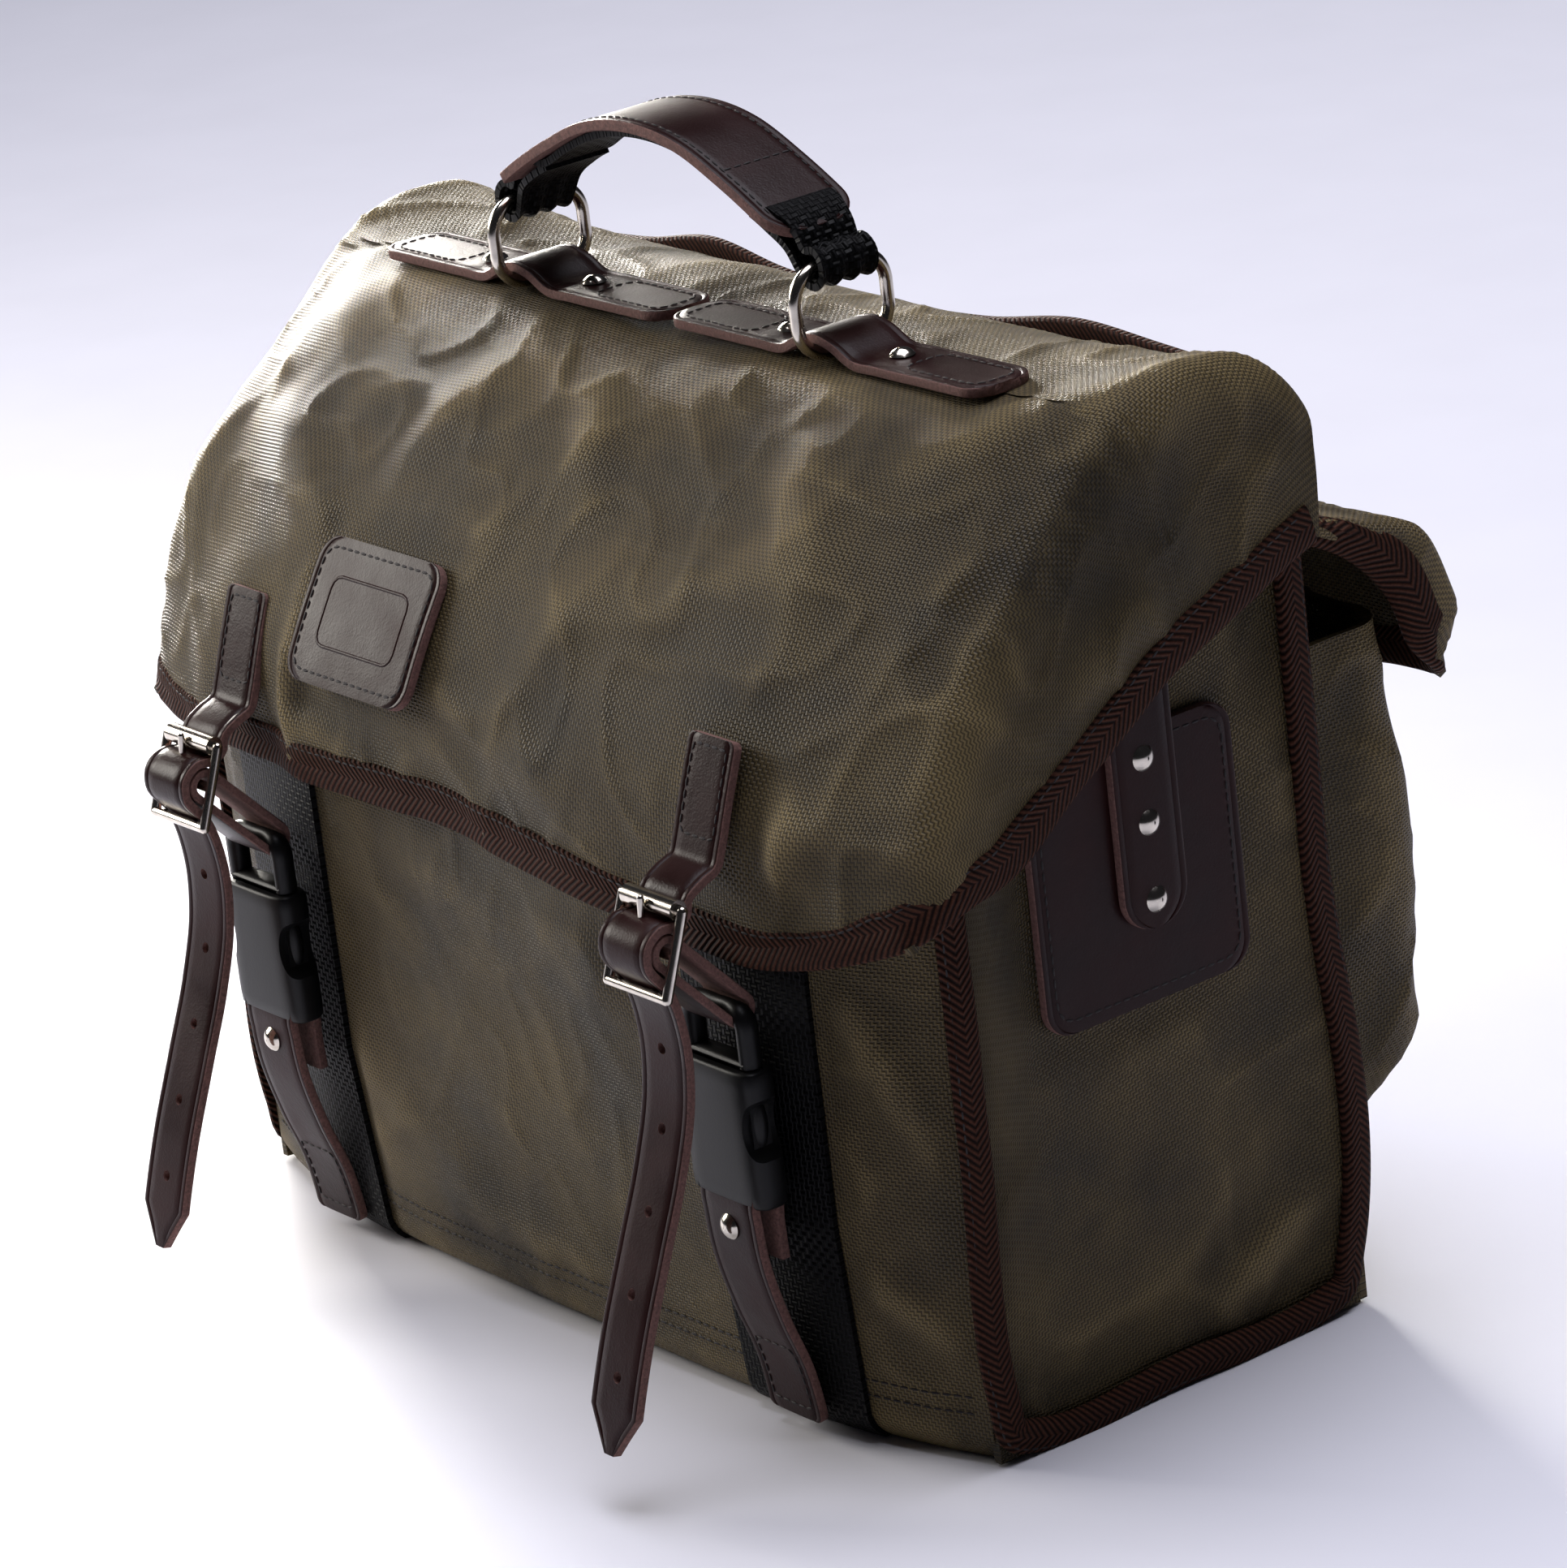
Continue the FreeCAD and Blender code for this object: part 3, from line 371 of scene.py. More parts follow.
def make_mesh(name, points, faces, materials, kinds=None, flat=None, smooth=True, sharp=48.0):
    """A mesh object from points in millimetres. flat holds each point's UV in metres."""
    data = bpy.data.meshes.new(name)
    data.from_pydata([tuple(p) for p in np.array(points) * MM], [], [tuple(f) for f in faces])
    for material in materials:
        data.materials.append(finish(material))
    if kinds is not None:
        data.polygons.foreach_set("material_index", kinds)
    data.polygons.foreach_set("use_smooth", [smooth] * len(data.polygons))
    if flat is not None:
        layer = data.uv_layers.new(name="flat")
        index = np.empty(len(data.loops), int)
        data.loops.foreach_get("vertex_index", index)
        layer.data.foreach_set("uv", np.array(flat)[index].ravel())
    shape = bmesh.new()
    shape.from_mesh(data)
    bmesh.ops.recalc_face_normals(shape, faces=shape.faces)
    shape.to_mesh(data)
    shape.free()
    data.set_sharp_from_angle(angle=math.radians(sharp))
    made = bpy.data.objects.new(name, data)
    bpy.context.scene.collection.objects.link(made)
    return made


def grid_normals(grid, away_from):
    """Normals of a grid of points that point away from a place."""
    across = np.gradient(grid, axis=1)
    along = np.gradient(grid, axis=0)
    normal = unit(np.cross(across, along))
    if np.mean(np.sum(normal * (grid - np.array(away_from, float)), axis=2)) < 0:
        normal = -normal
    return normal


def shell(name, grid, thickness, material, away_from, inner=None):
    """A closed sheet of some thickness whose outer face is a grid of points."""
    rows, columns = grid.shape[:2]
    normal = grid_normals(grid, away_from)
    back = grid - normal * thickness if inner is None else inner
    points = np.concatenate([grid.reshape(-1, 3), back.reshape(-1, 3)])
    middle = columns // 2
    along = run_length(grid[:, middle])
    steps = np.linalg.norm(np.diff(grid, axis=1), axis=2)
    across = np.concatenate([np.zeros((rows, 1)), np.cumsum(steps, axis=1)], axis=1)
    across = across - across[:, middle:middle + 1]
    flat = np.stack([across, np.repeat(along[:, None], columns, axis=1)], axis=2).reshape(-1, 2) * MM
    r, c = np.meshgrid(np.arange(rows - 1), np.arange(columns - 1), indexing="ij")
    a = (r * columns + c).ravel()
    quads = np.stack([a, a + 1, a + columns + 1, a + columns], axis=1)
    shift = rows * columns
    faces = quads.tolist() + (quads[:, ::-1] + shift).tolist()
    ring = ([(0, n) for n in range(columns)] + [(n, columns - 1) for n in range(1, rows)]
            + [(rows - 1, n) for n in range(columns - 2, -1, -1)]
            + [(n, 0) for n in range(rows - 2, 0, -1)])
    ids = [i * columns + j for i, j in ring]
    for a, b in zip(ids, ids[1:] + ids[:1]):
        faces.append((a, b, b + shift, a + shift))
    made = make_mesh(name, points, faces, [material], flat=np.concatenate([flat, flat]))
    # how far the sheet stands above or sinks below its surroundings: the canvas reads it for worn colour on the
    # crests and painted shade in the hollows
    crest_wear_and_hollow_shade = made.data.attributes.new("crest_wear_and_hollow_shade", "FLOAT", "POINT")
    crest_wear_and_hollow_shade.data.foreach_set("value", np.tile(standing(grid, normal).ravel(), 2))
    return made


def standing(grid, normal, reach=4):
    """How far each point of a sheet stands above the sheet around it, in millimetres."""
    return np.sum((grid - softened(grid, reach)) * normal, axis=2)


def softened(grid, reach):
    """A grid of points averaged with its neighbours both ways."""
    rows, columns = grid.shape[:2]
    soft = smoothed(grid.reshape(rows, -1), reach).reshape(grid.shape).transpose(1, 0, 2)
    return smoothed(soft.reshape(columns, -1), reach).reshape(columns, rows, 3).transpose(1, 0, 2)


def loft(name, centres, across, out, sections, materials, kinds, closed=False, middle=0.0):
    """Joins one section per centre point. A section point is (across, out) in millimetres."""
    count, size = sections.shape[:2]
    points = (centres[:, None] + across[:, None] * sections[:, :, :1]
              + out[:, None] * sections[:, :, 1:2]).reshape(-1, 3)
    along = np.repeat(run_length(centres)[:, None], size, axis=1)
    flat = np.stack([sections[:, :, 0] - middle, along], axis=2).reshape(-1, 2) * MM
    faces, marks = [], []
    last = count if closed else count - 1
    for i in range(last):
        a, b = i * size, ((i + 1) % count) * size
        for j in range(size):
            k = (j + 1) % size
            faces.append((a + j, a + k, b + k, b + j))
            marks.append(kinds[j])
    if not closed:
        faces.append(tuple(range(size)))
        faces.append(tuple((count - 1) * size + j for j in range(size - 1, -1, -1)))
        marks += [len(materials) - 1] * 2
    return make_mesh(name, points, faces, materials, marks, flat)


class Strip:
    """A flat strap along a line: its frames, its mesh and the places on its face."""

    def __init__(self, points, across, facing, width, thickness, ends=(0, 0), step=1.6, extra=None):
        line = curve(points, step=step)
        run = run_length(line)
        self.length = run[-1]
        near = [0.03, 0.25, 0.7, 1.4, 2.4, 3.6, 5.0, 6.6]
        marks = list(run)
        for end, size in zip((0, self.length), ends):
            if size:
                scale = size / 8.0
                marks += [abs(end - n * scale) for n in near]
        marks = np.array(sorted(m for m in set(np.round(marks, 3)) if 0 <= m <= self.length))
        if ends[0]:
            marks = marks[marks > 0.02]
        if ends[1]:
            marks = marks[marks < self.length - 0.02]
        self.run = marks
        self.line = sample(line, run, marks)
        tangent = unit(np.gradient(self.line, axis=0))
        self.across = np.repeat([unit(np.array(across, float))], len(marks), axis=0)
        self.out = unit(np.cross(self.across, tangent))
        if np.dot(self.out[0], facing) < 0:
            self.out = -self.out
        self.thickness = thickness
        self.half = np.full(len(marks), width / 2.0)
        for reach, distance in ((ends[0], marks), (ends[1], self.length - marks)):
            if reach:
                inside = np.clip(reach - distance, 0, reach)
                cut = reach - np.sqrt(np.maximum(reach**2 - inside**2, 0))
                self.half = np.minimum(self.half, width / 2.0 - cut)
        if extra is not None:
            self.half = np.minimum(self.half, extra(self.length - marks))
        self.half = np.maximum(self.half, 0.4)

    def place(self, across, along, lift=0.0):
        """A point on the face, and the direction out of it."""
        where = sample(self.line, self.run, [along])[0]
        out = unit(sample(self.out, self.run, [along])[0])
        side = self.across[0]
        return where + side * across + out * (self.thickness / 2 + lift), out

    def build(self, name, materials, groove=0.22, kinds=None):
        """Leather by default: a creased line inside each edge, and raw edges."""
        t = self.thickness / 2
        insets = [0.0, 0.3, 0.9, 2.0, 2.4, 2.8, 5.5]
        drops = [0.4, 0.08, 0.0, 0.0, groove, 0.0, -0.06]
        sections = []
        for half in self.half:
            k = min(half / 7.0, 1.0)
            left = [(-half + i * k, t - d) for i, d in zip(insets, drops)]
            top = left + [(0.0, t + 0.08)] + [(-a, o) for a, o in reversed(left)]
            under = [(half, -t + 0.35), (half - 0.4 * k, -t), (-half + 0.4 * k, -t), (-half, -t + 0.35)]
            sections.append(top + under)
        sections = np.array(sections)
        size = sections.shape[1]
        marks = [0] * size
        if kinds is None:
            for j in (0, 13, 14, 15, 16, 17, 18):
                marks[j % size] = 1
            marks[1] = 0
        return loft(name, self.line, self.across, self.out, sections, materials, marks)


LEATHER = ["waxed_bridle_leather", "raw_cut_leather_edge"]


def box_line(x0, x1, y0, y1, radius=3.0):
    """A closed rectangle with rounded corners, as (across, along) places."""
    points = []
    for cx, cy, start in ((x1 - radius, y1 - radius, 0), (x0 + radius, y1 - radius, 90),
                          (x0 + radius, y0 + radius, 180), (x1 - radius, y0 + radius, 270)):
        for turn in (0, 30, 60, 90):
            a = math.radians(start + turn)
            points.append((cx + radius * math.cos(a), cy + radius * math.sin(a)))
    return points + points[:1]


def stitches(name, lines, body, radius=0.42):
    """Short threads along lines of (point, normal), all in one mesh."""
    pitch = bpy.context.scene.saddlebag_sizes.stitch / MM
    points, faces = [], []
    rings = ((-0.5, 0.35), (-0.3, 0.9), (0.0, 1.0), (0.3, 0.9), (0.5, 0.35))
    for pairs in lines:
        line = np.array([p for p, _ in pairs])
        ups = np.array([n for _, n in pairs])
        run = run_length(line)
        count = max(int(round(run[-1] / pitch)), 1)
        for n in range(count):
            ends = (run[-1] * (n + 0.14) / count, run[-1] * (n + 0.86) / count)
            a, b = sample(line, run, ends)
            up = unit(sample(ups, run, [sum(ends) / 2])[0])
            along = b - a
            side = unit(np.cross(along, up))
            base = len(points)
            for share, size in rings:
                for k in range(6):
                    turn = k * math.pi / 3
                    offset = side * math.cos(turn) * radius * size + up * math.sin(turn) * radius * 0.75 * size
                    points.append((a + b) / 2 + along * share + offset)
            for i in range(4):
                for k in range(6):
                    p, q = base + i * 6 + k, base + i * 6 + (k + 1) % 6
                    faces.append((p, q, q + 6, p + 6))
            faces.append(tuple(base + k for k in range(6)))
            faces.append(tuple(base + 24 + k for k in range(5, -1, -1)))
    made = make_mesh(name, points, faces, ["waxed_linen_thread"])
    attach(made, body)
    return made


def on_strip(strip, places, lift=0.12):
    """Places (across, along) of a strip as points with normals, filled in every millimetre."""
    dense = []
    for (a0, s0), (a1, s1) in zip(places, places[1:]):
        steps = max(int(math.hypot(a1 - a0, s1 - s0)), 1)
        dense += [(a0 + (a1 - a0) * n / steps, s0 + (s1 - s0) * n / steps) for n in range(steps)]
    dense.append(places[-1])
    return [strip.place(a, s, lift) for a, s in dense]


def bound(name, edge, inward, normal, fall, body, slack=2.6):
    """A folded tape over the edge of a sheet, following the sheet on both faces."""
    lifts = [(3, 0.3, 0.1), (3, -0.2, 0.85), (2, 0, 1.15), (1, 0, 1.15), (0, 0.8, 1.0), (0, -0.9, 0.3)]
    ripple = np.array([noise.noise(Vector(p) / 14.0) for p in edge])
    face = [(fall[:, k, 0] + a, fall[:, k, 1] + o + ripple * 0.35) for k, a, o in lifts]
    back = [(fall[:, k, 0] + a, fall[:, k, 1] - o * 0.5 - slack) for k, a, o in reversed(lifts)]
    tip = [(np.full(len(edge), -1.5), np.full(len(edge), -slack / 2))]
    sections = np.stack([np.stack(pair, axis=1) for pair in face + tip + back], axis=1)
    width = bpy.context.scene.saddlebag_sizes.tape / MM
    made = loft(name, edge, inward, normal, sections, ["herringbone_cotton_tape"], [0] * sections.shape[1],
                middle=width / 2)
    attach(made, body)
    return made


def smoothed(values, reach=3):
    """Each row averaged with its neighbours."""
    kernel = np.ones(2 * reach + 1) / (2 * reach + 1)
    padded = np.pad(values, ((reach, reach), (0, 0)), mode="edge")
    return np.stack([np.convolve(padded[:, n], kernel, mode="valid") for n in range(values.shape[1])], 1)


# ---- cloth folds ------------------------------------------------------------
def crumple(points, seed, dents, creases, stretch=(1.0, 1.0, 1.0)):
    """How far the cloth stands out or in at each point: broad dents with sharp creases on top."""
    flat = points.reshape(-1, 3)
    moved = np.empty(len(flat))
    shift = Vector((seed * 17.3, seed * 5.1, seed * 9.7))
    for n, p in enumerate(flat):
        v = Vector((p[0] * stretch[0], p[1] * stretch[1], p[2] * stretch[2]))
        broad = noise.noise(v / 92.0 + shift) + 0.2 * noise.noise(v / 41.0 + shift)
        bent = v + noise.noise_vector(v / 60.0 + shift) * 16.0
        ridge = 1.0 - abs(noise.noise(bent / 58.0 - shift)) * 2.4
        small = 1.0 - abs(noise.noise(bent / 31.0 + shift * 2)) * 3.2
        fine = noise.noise(v / 11.0)
        moved[n] = (broad * dents + max(ridge, 0) ** 2 * creases * 0.55 + max(small, 0) ** 3 * creases * 0.4
                    + fine * 0.12)
    return moved.reshape(points.shape[:-1])


def folded(points, folds):
    """Extra height of hand-placed folds: (start, end, height, width) in millimetres."""
    total = np.zeros(points.shape[:-1])
    for start, end, height, width in folds:
        a, b = np.array(start, float), np.array(end, float)
        d = b - a
        along = np.clip(np.sum((points - a) * d, axis=-1) / np.dot(d, d), 0, 1)
        gap = np.linalg.norm(points - (a + along[..., None] * d), axis=-1)
        total += 1.5 * height * np.exp(-((gap / width) ** 2)) * np.sin(np.pi * np.clip(along * 0.9 + 0.05, 0, 1))
    return total


def calm(points, spots):
    """1 away from the spots, falling to 0 on them: each is (centre, half size, fade)."""
    keep = np.ones(points.shape[:-1])
    for centre, half, fade in spots:
        gap = np.maximum(np.abs(points - np.array(centre, float)) - np.array(half, float), 0)
        keep = np.minimum(keep, np.clip(np.linalg.norm(gap, axis=-1) / fade, 0, 1))
    return keep * keep * (3 - 2 * keep)


def dressed(obj, body, slot, *nodes):
    """Puts a piece on its body and its record slot, in place of the CAD nodes it stands for."""
    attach(obj, body)
    if nodes:
        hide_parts(*nodes)
    return obj


def settings():
    """Canvas thickness, dents and creases in millimetres."""
    s = bpy.context.scene.saddlebag_sizes
    return s.canvas / MM, s.dents / MM, s.creases / MM


# ---- bag body ---------------------------------------------------------------
def front_bulge(x, z):
    """How far the front panel stands in front of its corner seams."""
    full = 18 + 7 * np.clip(z / 70.0, 0, 1)
    return full * (1 - np.clip(np.abs(x) / 185.0, 0, 1) ** 4.2)


def front_grid(lift=0.0, x0=-184.5, x1=184.5, z_top=226.0, columns=150):
    """Outer face of the front panel from its top edge down and under the base."""
    heights = list(np.linspace(z_top, 8.0, 86)) + [5.2, 3.0, 1.5, 0.7, 0.45]
    xs = np.linspace(x0, x1, columns)
    rows = []
    for z in heights:
        lean = 26.0 * max(z - 172, 0) / 54.0
        tuck = 0.0 if z > 9 else (9 - z) ** 2 / 14.0
        rows.append([(x, -72 + lean + tuck - front_bulge(x, z) - lift, z) for x in xs])
    for y in np.linspace(-78, 68, 22):
        under = []
        for n, x in enumerate(xs):
            front = rows[90][n][1]
            share = (y + 78) / 146.0
            under.append((x, front + (68 - front) * share, 0.45))
        rows.append(under)
    return np.array(rows[:91] + rows[92:])


def make_front():
    thick, dents, creases = settings()
    grid = front_grid()
    normal = grid_normals(grid, (0, 0, 110))
    move = crumple(grid, 3, dents * 0.75, creases * 0.8)
    folds = [((-90, -95, 38), (60, -99, 20), 1.8, 9), ((-100, -92, 75), (-10, -98, 30), 1.5, 11),
             ((70, -96, 120), (20, -99, 150), 2.2, 10), ((150, -86, 150), (178, -74, 95), 2.4, 9),
             ((146, -88, 60), (182, -74, 34), 2.2, 8), ((-60, -98, 150), (40, -98, 128), 2.0, 13)]
    move = move + folded(grid, folds)
    spots = [((s * 119, -90, 86), (25, 30, 90), 12) for s in (-1, 1)]
    spots += [((s * 186, -72, 90), (1, 12, 100), 10) for s in (-1, 1)]
    keep = calm(grid, spots) * np.clip(grid[..., 2] / 26.0, 0, 1)
    keep = keep * np.clip((232 - grid[..., 2]) / 30.0, 0, 1)
    grid = grid + normal * (np.clip(move, -4.5, 5.0) * keep)[..., None]
    made = shell("front_panel", grid, thick, "waxed_cotton_duck", (0, 0, 110))
    dressed(made, "bag", "waxed_canvas", "front_base_panel")
    seam = [[(grid[r, c] + normal[r, c] * 0.15, normal[r, c]) for c in range(2, 148)] for r in (80, 82)]
    stitches("front_base_seam", seam, "bag")


def make_gussets():
    thick, dents, creases = settings()
    for side, sign in (("right", 1), ("left", -1)):
        rows = []
        for t in np.linspace(0, 1, 90):
            row = []
            for y in np.linspace(-71.5, 69.5, 48):
                top = np.interp(y, [-72, -46, 70], [172, 226, 278])
                row.append((sign * 185.9, y, 0.6 + t * (top - 0.6)))
            rows.append(row)
        grid = np.array(rows)
        move = crumple(grid, 8 + sign, dents * 1.3, creases * 1.3)
        move = move + folded(grid, [((sign * 186, -60, 30), (sign * 186, 30, 62), 3.4, 13),
                                    ((sign * 186, -64, 60), (sign * 186, -10, 100), 2.6, 10),
                                    ((sign * 186, 10, 12), (sign * 186, 58, 40), 2.4, 9)])
        spots = [((sign * 186, -1, 175), (1, 40, 54), 16)]
        keep = calm(grid, spots)
        rim = np.minimum.reduce([(grid[..., 1] + 72) / 13.0, (70 - grid[..., 1]) / 13.0,
                                 grid[..., 2] / 13.0])
        keep = keep * np.clip(rim, 0, 1)
        grid = grid + np.array([sign, 0, 0]) * (np.clip(move - 1.2, -5.5, 1.6) * keep)[..., None]
        made = shell(side + "_gusset_canvas", grid, thick, "waxed_cotton_duck", (0, 0, 110))
        dressed(made, "bag", "waxed_canvas", side + "_gusset")
        make_gusset_tape(side, sign)


def make_gusset_tape(side, sign):
    """The folded tape that stands along the gusset's front, bottom and back seams."""
    corners = [(-69.5, 176), (-69.5, 100), (-69.0, 20), (-66.5, 8.5), (-59, 5.6), (0, 5.4), (54, 5.6),
               (63, 8.5), (66.5, 18), (66.5, 150), (66.5, 270)]
    line = curve([(sign * 186.6, y, z) for y, z in corners], step=2.6)
    wobble = np.array([noise.noise(Vector(p) / 30.0) for p in line])
    line[:, 0] += sign * wobble * 0.5
    tangent = unit(np.gradient(line, axis=0))
    out = np.repeat([[float(sign), 0, 0]], len(line), axis=0)
    across = unit(np.cross(tangent, out)) * (-sign)
    profile = np.array([(-5, -0.4), (-5.1, 1.0), (-3.6, 2.0), (0, 2.5), (3.6, 2.9), (5.0, 2.0), (5.4, 0.4),
                        (5.0, -0.8), (0, -0.6)])
    sections = np.repeat([profile], len(line), axis=0)
    sections[:, :, 1] *= 0.9 + 0.16 * wobble[:, None]
    made = loft(side + "_gusset_tape", line, across, out, sections, ["herringbone_cotton_tape"], [0] * 9)
    dressed(made, "bag", "binding_tape", side + "_gusset_binding")
    lines = [[(line[n] + out[n] * 1.6 - across[n] * 3.6, out[n]) for n in range(2, len(line) - 2)]]
    stitches(side + "_gusset_tape_seam", lines, "bag", 0.36)


def make_back():
    thick, dents, creases = settings()
    xs, zs = np.linspace(-185.5, 185.5, 120), np.linspace(1.0, 280.0, 90)
    grid = np.array([[(x, 72.6, z) for x in xs] for z in zs])
    move = crumple(grid, 14, dents * 0.5, creases * 0.5)
    rim = np.minimum.reduce([(186 - np.abs(grid[..., 0])) / 14, grid[..., 2] / 14, (280 - grid[..., 2]) / 14])
    grid[..., 1] += np.clip(move - 0.6, -2.0, 1.2) * np.clip(rim, 0, 1)
    made = shell("back_panel_canvas", grid, thick, "waxed_cotton_duck", (0, 0, 110))
    dressed(made, "bag", "waxed_canvas", "back_panel")
    line = curve([(-182, 74.2, 280), (-120, 74.2, 281), (-85, 74.2, 286), (-50, 74.4, 281), (50, 74.4, 280),
                  (95, 74.2, 286), (130, 74.2, 284), (182, 74.2, 280)], step=3)
    count = len(line)
    out = np.repeat([[0, 1.0, 0]], count, axis=0)
    up = np.repeat([[0, 0, 1.0]], count, axis=0)
    profile = np.array([(-7.5, -0.9), (-7.3, 0.6), (0, 1.2), (5.8, 1.1), (6.8, 0.2), (6.8, -2.4), (5.8, -3.3),
                        (0, -3.4), (-0.2, -1.2)])
    made = loft("rear_seam_tape", line, up, out, np.repeat([profile], count, axis=0),
                ["herringbone_cotton_tape"], [0] * 9)
    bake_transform(made)
    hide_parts("rear_seam_binding")


def make_webbing():
    """Woven straps sewn down the front, under the clips."""
    for side, sign in (("right", 1), ("left", -1)):
        x = sign * 119
        grid = front_grid(2.2, x - 25, x + 25, 172.0, 24)[:92]
        made = shell(side + "_front_webbing", grid, 2.0, "woven_polypropylene", (0, 60, 110))
        dressed(made, "bag", "webbing", side + "_webbing")


def make_side_patches():
    """Stitched leather patches on the gussets, each with a riveted strap."""
    for side, sign in (("right", 1), ("left", -1)):
        face = (sign, 0, 0)
        patch = Strip([(sign * 187.5, -1, 122), (sign * 187.5, -1, 163), (sign * 187.5, -1, 204)],
                      (0, 1, 0), face, 78, 3.0, ends=(9, 9))
        made = patch.build(side + "_patch_leather", LEATHER)
        dressed(made, "bag", "strap_leather", side + "_side_patch")
        border = on_strip(patch, box_line(-35, 35, 4, patch.length - 4, 6))
        strap = Strip([(sign * 190.5, 2, 145), (sign * 190.5, 2, 197), (sign * 190.5, 2, 250)],
                      (0, 1, 0), face, 24, 3.0, ends=(11, 0))
        made = strap.build(side + "_mounting_strap", LEATHER)
        dressed(made, "bag", "strap_leather", side + "_side_strap")
        stitches(side + "_patch_seam", [border], "bag", 0.4)


# ---- flaps: one cut of canvas over a main face and two side wings ----------
def hood_grid(middle, end, hem, half, full_x, edge, rows, columns, pull=4.0):
    """Rows from the rear seam to the front edge; each runs from one wing's hem to the other's."""
    mid_line = curve([(y, z) for y, z in middle], count=rows)
    end_line = curve([(y, z) for y, z in end], count=rows)
    hem_line = curve([(y, z) for y, z in hem], count=rows)
    shift_x, shift_z = zip(*edge)
    grid = []
    for n in range(rows):
        t = n / (rows - 1)
        side = []
        for share, x in ((0.0, half - 0.8), (0.3, half + 0.3), (0.62, half + 0.4), (0.88, half - 0.8)):
            y, z = hem_line[n] + (end_line[n] - hem_line[n]) * share
            side.append((x, y, z))
        inner = []
        for x in (half - 6, half - 14, half - 26, half - 42, half - 62, half - 88, half - 118, half - 150, 20):
            e = np.clip((x - full_x * 0.72) / (half - full_x * 0.72), 0, 1) ** 2.1
            y, z = mid_line[n] + (end_line[n] - mid_line[n]) * e
            y = y + pull * (x / full_x) ** 2 * (1 - e) * (y < 0)
            inner.append((x, y, z))
        right = np.array(side + inner)
        left = right * np.array([-1, 1, 1])
        row = np.concatenate([left, right[::-1]])
        row[:, 2] += np.interp(row[:, 0], shift_x, shift_z) * t**3
        grid.append(curve(row, count=columns))
    return rounded(np.array(grid), rows // 10, columns // 13)


def rounded(grid, tall, wide):
    """The sheet with its two front corners cut round: a square of cells squeezed into a quarter disc."""
    rows, columns = grid.shape[:2]
    made = grid.copy()
    for r in range(rows - tall, rows):
        for c in list(range(wide)) + list(range(columns - wide, columns)):
            near = c < wide
            a, b = 1 - (c if near else columns - 1 - c) / wide, (r - rows + 1 + tall) / tall
            across, down = (1 - a * math.sqrt(1 - b * b / 2)) * wide, b * math.sqrt(1 - a * a / 2) * tall
            made[r, c] = at(grid, rows - 1 - tall + down, across if near else columns - 1 - across)
    r, c = np.indices((rows, columns))
    near = np.minimum(c, columns - 1 - c)
    share = np.clip((r - rows + 2.4 * tall) / tall, 0, 1) * np.clip((2.2 * wide - near) / wide, 0, 1)
    return made + (softened(softened(made, 4), 4) - made) * share[..., None]


def at(grid, row, column):
    """A point between the corners of a grid cell."""
    rows, columns = grid.shape[:2]
    row, column = min(max(row, 0), rows - 1.001), min(max(column, 0), columns - 1.001)
    i, j = int(row), int(column)
    u, v = row - i, column - j
    return ((grid[i, j] * (1 - v) + grid[i, j + 1] * v) * (1 - u)
            + (grid[i + 1, j] * (1 - v) + grid[i + 1, j + 1] * v) * u)


def walk(grid, row, column, down, across, reach):
    """Points of the sheet at four even distances in from its edge."""
    length = math.hypot(down, across)
    steps = [at(grid, row + down / length * n * 0.25, column + across / length * n * 0.25) for n in range(48)]
    run = run_length(np.array(steps))
    return sample(np.array(steps), run, np.array([0, 0.35, 0.7, 1.0]) * reach)


def hood_edge(grid, normal):
    """The free edge of a hood: up one wing's hem, along the front and back up the other. Returns points,
    inward and outward directions, and how the sheet bends away under the tape at each."""
    rows, columns = grid.shape[:2]
    width = bpy.context.scene.saddlebag_sizes.tape / MM
    tall, wide = rows // 10, columns // 13
    path = [(n, 0) for n in range(0, rows - 1)] + [(rows - 1, c) for c in range(columns)]
    path += [(n, columns - 1) for n in range(rows - 2, -1, -1)]
    bands, out = [], []
    for r, c in path:
        near = min(c, columns - 1 - c)
        side = 1 if c < columns / 2 else -1
        down = min(rows - 1 - tall - r, 0) if near < wide else -1
        across = side * max(wide - near, 0) if r > rows - 1 - tall else side
        if r == rows - 1 and near >= wide:
            across = 0
        bands.append(walk(grid, r, c, down, across, width))
        out.append(normal[r, c])
    bands, out = np.array(bands), np.array(out)
    run = run_length(bands[:, 0])
    want = np.linspace(0, run[-1], int(run[-1] / 3.0))
    bands = smoothed(sample(bands.reshape(len(path), -1), run, want), 2).reshape(-1, 4, 3)
    out = unit(smoothed(sample(out, run, want), 6))
    edge = bands[:, 0]
    tangent = unit(np.gradient(edge, axis=0))
    inward = bands[:, 3] - edge
    inward = unit(inward - tangent * np.sum(inward * tangent, axis=1, keepdims=True))
    square = unit(np.cross(tangent, inward))
    square *= np.sign(np.sum(square * out, axis=1))[:, None]
    gap = bands - edge[:, None]
    fall = np.stack([np.sum(gap * inward[:, None], axis=2), np.sum(gap * square[:, None], axis=2)], axis=2)
    return edge, inward, square, fall


